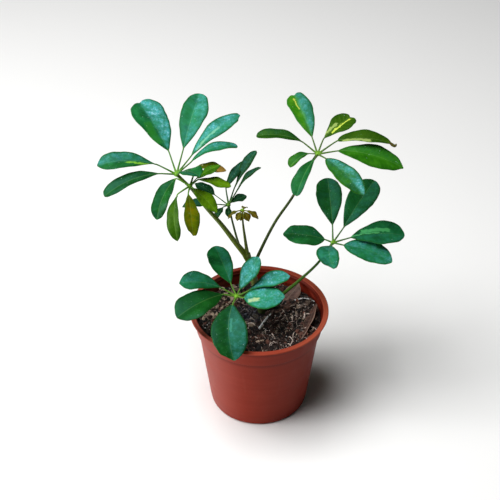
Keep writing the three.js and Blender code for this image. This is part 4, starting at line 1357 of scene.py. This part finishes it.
def capped(name, points, rings, sides):
    """A small flat-faced mesh from closed rings of points, with both ends closed."""
    faces = ring_faces(rings, sides)
    faces.append(tuple(range(sides)))
    faces.append(tuple(range(rings * sides - 1, (rings - 1) * sides - 1, -1)))
    mesh = mesh_of(name, points, faces, unit=1, smooth=False)
    face_outwards(mesh)
    return mesh


def chip(number):
    """A flat bark chip about 1 unit long, with broken corners."""
    chance = random.Random(50 + number)
    corners = 7
    outline = []
    for i in range(corners):
        turn = 2 * math.pi * i / corners
        reach = chance.uniform(0.32, 0.55)
        outline.append((reach * math.cos(turn), 0.62 * reach * math.sin(turn)))
    points = [(x, y, 0.10 + chance.uniform(-0.03, 0.03)) for x, y in outline]
    points += [(1.12 * x, 1.12 * y, 0.02) for x, y in outline]
    points += [(x, y, -0.08) for x, y in outline]
    return capped("chip", points, 3, corners)


def fibre(number):
    """A bent root hair about 1 unit long, thinner towards one end."""
    chance = random.Random(90 + number)
    steps, sides = 7, 4
    bend = chance.uniform(-2.6, 2.6)
    rise = chance.uniform(0.05, 0.30)
    twist = chance.uniform(-1, 1)
    points = []
    x, y = -0.5, 0.0
    for i in range(steps):
        s = i / (steps - 1)
        heading = bend * (s - 0.4) + twist * math.sin(5 * s)
        radius = 0.052 * (1 - 0.55 * s) + 0.008
        z = rise * math.sin(math.pi * s)
        for j in range(sides):
            turn = 2 * math.pi * j / sides
            across = radius * math.cos(turn)
            point = (x - across * math.sin(heading), y + across * math.cos(heading))
            points.append((*point, z + radius * math.sin(turn)))
        x += math.cos(heading) / (steps - 1)
        y += math.sin(heading) / (steps - 1)
    return capped("fibre", points, steps, sides)


# Loose matter: name, maker of its shapes, how many shapes, pieces per square metre, smallest and
# largest size in millimetres, lean in radians, lift in millimetres, where it lies, seed and finish
STREWN = [
    ("soil_crumbs", crumb, 4, 130000, 0.8, 6.5, 3.1, 0.5, "room", 11, CRUMBS),
    ("bark_chips", chip, 5, 70000, 2.0, 9.5, 0.9, 1.0, "woody", 23, CHIPS),
    ("peat_fibres", fibre, 8, 155000, 2.6, 10.5, 0.9, 1.0, "hairy", 35, FIBRES),
    ("pale_flecks", crumb, 4, 55000, 0.5, 2.1, 3.1, 0.9, "hairy", 47, FLECKS),
]


def strew(top, name, maker, kinds, density, least, most, lean, lift, where, seed, finish):
    """One sort of loose pieces over the soil."""
    shapes = bpy.data.collections.new(name + "_shape")
    for number in range(kinds):
        shapes.objects.link(bpy.data.objects.new(f"{name}_shape{number}", maker(number)))
    piece = run_tree(
        new_piece(name, top.copy()),
        SCATTER,
        shapes=shapes,
        per_square_metre=float(density),
        smallest=least * MM,
        largest=most * MM,
        lean=lean,
        lift=lift * MM,
        where=where,
        seed=seed,
        finish=finish,
    )
    return piece


# Fallen leaves and straws

def fallen_leaf(name, node, start, row, tone):
    """A dead leaflet on the soil, curled and browned."""
    rows = [(start, row, FINISHES[tone], (0, 0), [], DRY_RIPPLE)]
    piece = blades(name, rows, [DRY_LEAF_SKIN])
    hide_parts(node)
    return piece


def straw(name, node, route, radius):
    """A loose straw on the soil."""
    s = np.linspace(0, 1, 40)
    rough = np.array([1 + STRAW_ROUGHNESS * noise.noise(Vector((v * 9, radius, 0))) for v in s])
    chain = {"points": smooth_path(route, 40), "thickness": radius * (1 - STRAW_THINNING * s) * rough}
    piece = tubes(name, [chain], 12, STRAW_FIBRE)
    along = np.subtract(route[-1], route[0])
    along = along / np.linalg.norm(along)
    places = np.array([tuple(p.co) for p in piece.data.vertices])
    write_values(piece.data, "grain", places - 0.85 * np.outer(places @ along, along))
    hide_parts(node)
    return piece


pieces = [nursery_pot(), soil_bed(), main_stem()]
top = open_top()
pieces += [strew(top, *row) for row in STREWN]
pieces += [compound_leaf(leaf) for leaf in LEAVES]
pieces += [fallen_leaf(*row) for row in DRY_LEAVES]
pieces += [straw(*row) for row in STRAWS]
for piece in pieces:
    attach(piece, "root")


# Floor, light and camera, in metres and degrees

FLOOR_HALF = 4.0
FLOOR_DROP = 0.0002
FLOOR_TONE = (0.86, 0.86, 0.86)
FLOOR_CORNERS = [(-1, -1), (1, -1), (1, 1), (-1, 1)]
AIM = (0, 0, 0.15)
GLOW = 0.03
CAMERA_PLACE = (0, -0.76604, 0.74979)
CAMERA_PITCH = -36.898
CAMERA_YAW = 90.640
CAMERA_LENS = 76.874


def facing(direction):
    """The turn of a lamp or camera that looks along a direction."""
    return Vector(direction).to_track_quat("-Z", "Y").to_euler()


def put(name, data, place, direction):
    """A lamp or camera in its place."""
    thing = new_piece(name, data)
    thing.location = place
    thing.rotation_euler = facing(direction)
    return thing


def soft_light(name, place, size, power, colour):
    """A square area light that faces the plant."""
    light = bpy.data.lights.new(name, "AREA")
    light.size = size
    light.energy = power
    light.color = colour
    put(name, light, place, Vector(AIM) - Vector(place))


corners = [(x * FLOOR_HALF, y * FLOOR_HALF, -FLOOR_DROP) for x, y in FLOOR_CORNERS]
floor_mesh = mesh_of("floor", corners, [(0, 1, 2, 3)], unit=1, smooth=False)
floor_mesh.materials.append(Finish("floor paint", Base_Color=FLOOR_TONE, Roughness=0.9).material)
floor = new_piece("floor", floor_mesh)

soft_light("overhead", (-0.60, -0.10, 1.76), 1.3, 49, (1.0, 1.0, 0.99))
soft_light("left panel", (-1.70, -0.35, 0.30), 0.6, 22, (1.0, 0.98, 0.97))

world = bpy.data.worlds.new("studio")
bpy.context.scene.world = world
world.use_nodes = True
sky = Nodes(world.node_tree)
backdrop = world.node_tree.nodes["Background"]
sky.feed(backdrop.inputs["Color"], (1, 1, 1))
seen = sky.add("ShaderNodeLightPath", output="Is Camera Ray")
sky.feed(backdrop.inputs["Strength"], sky.scale(seen, GLOW, 1.0))

camera_data = bpy.data.cameras.new("camera")
camera_data.lens = CAMERA_LENS
camera = put("camera", camera_data, CAMERA_PLACE, headed(CAMERA_YAW, CAMERA_PITCH))
bpy.context.scene.camera = camera
bpy.context.scene.view_settings.view_transform = "Standard"
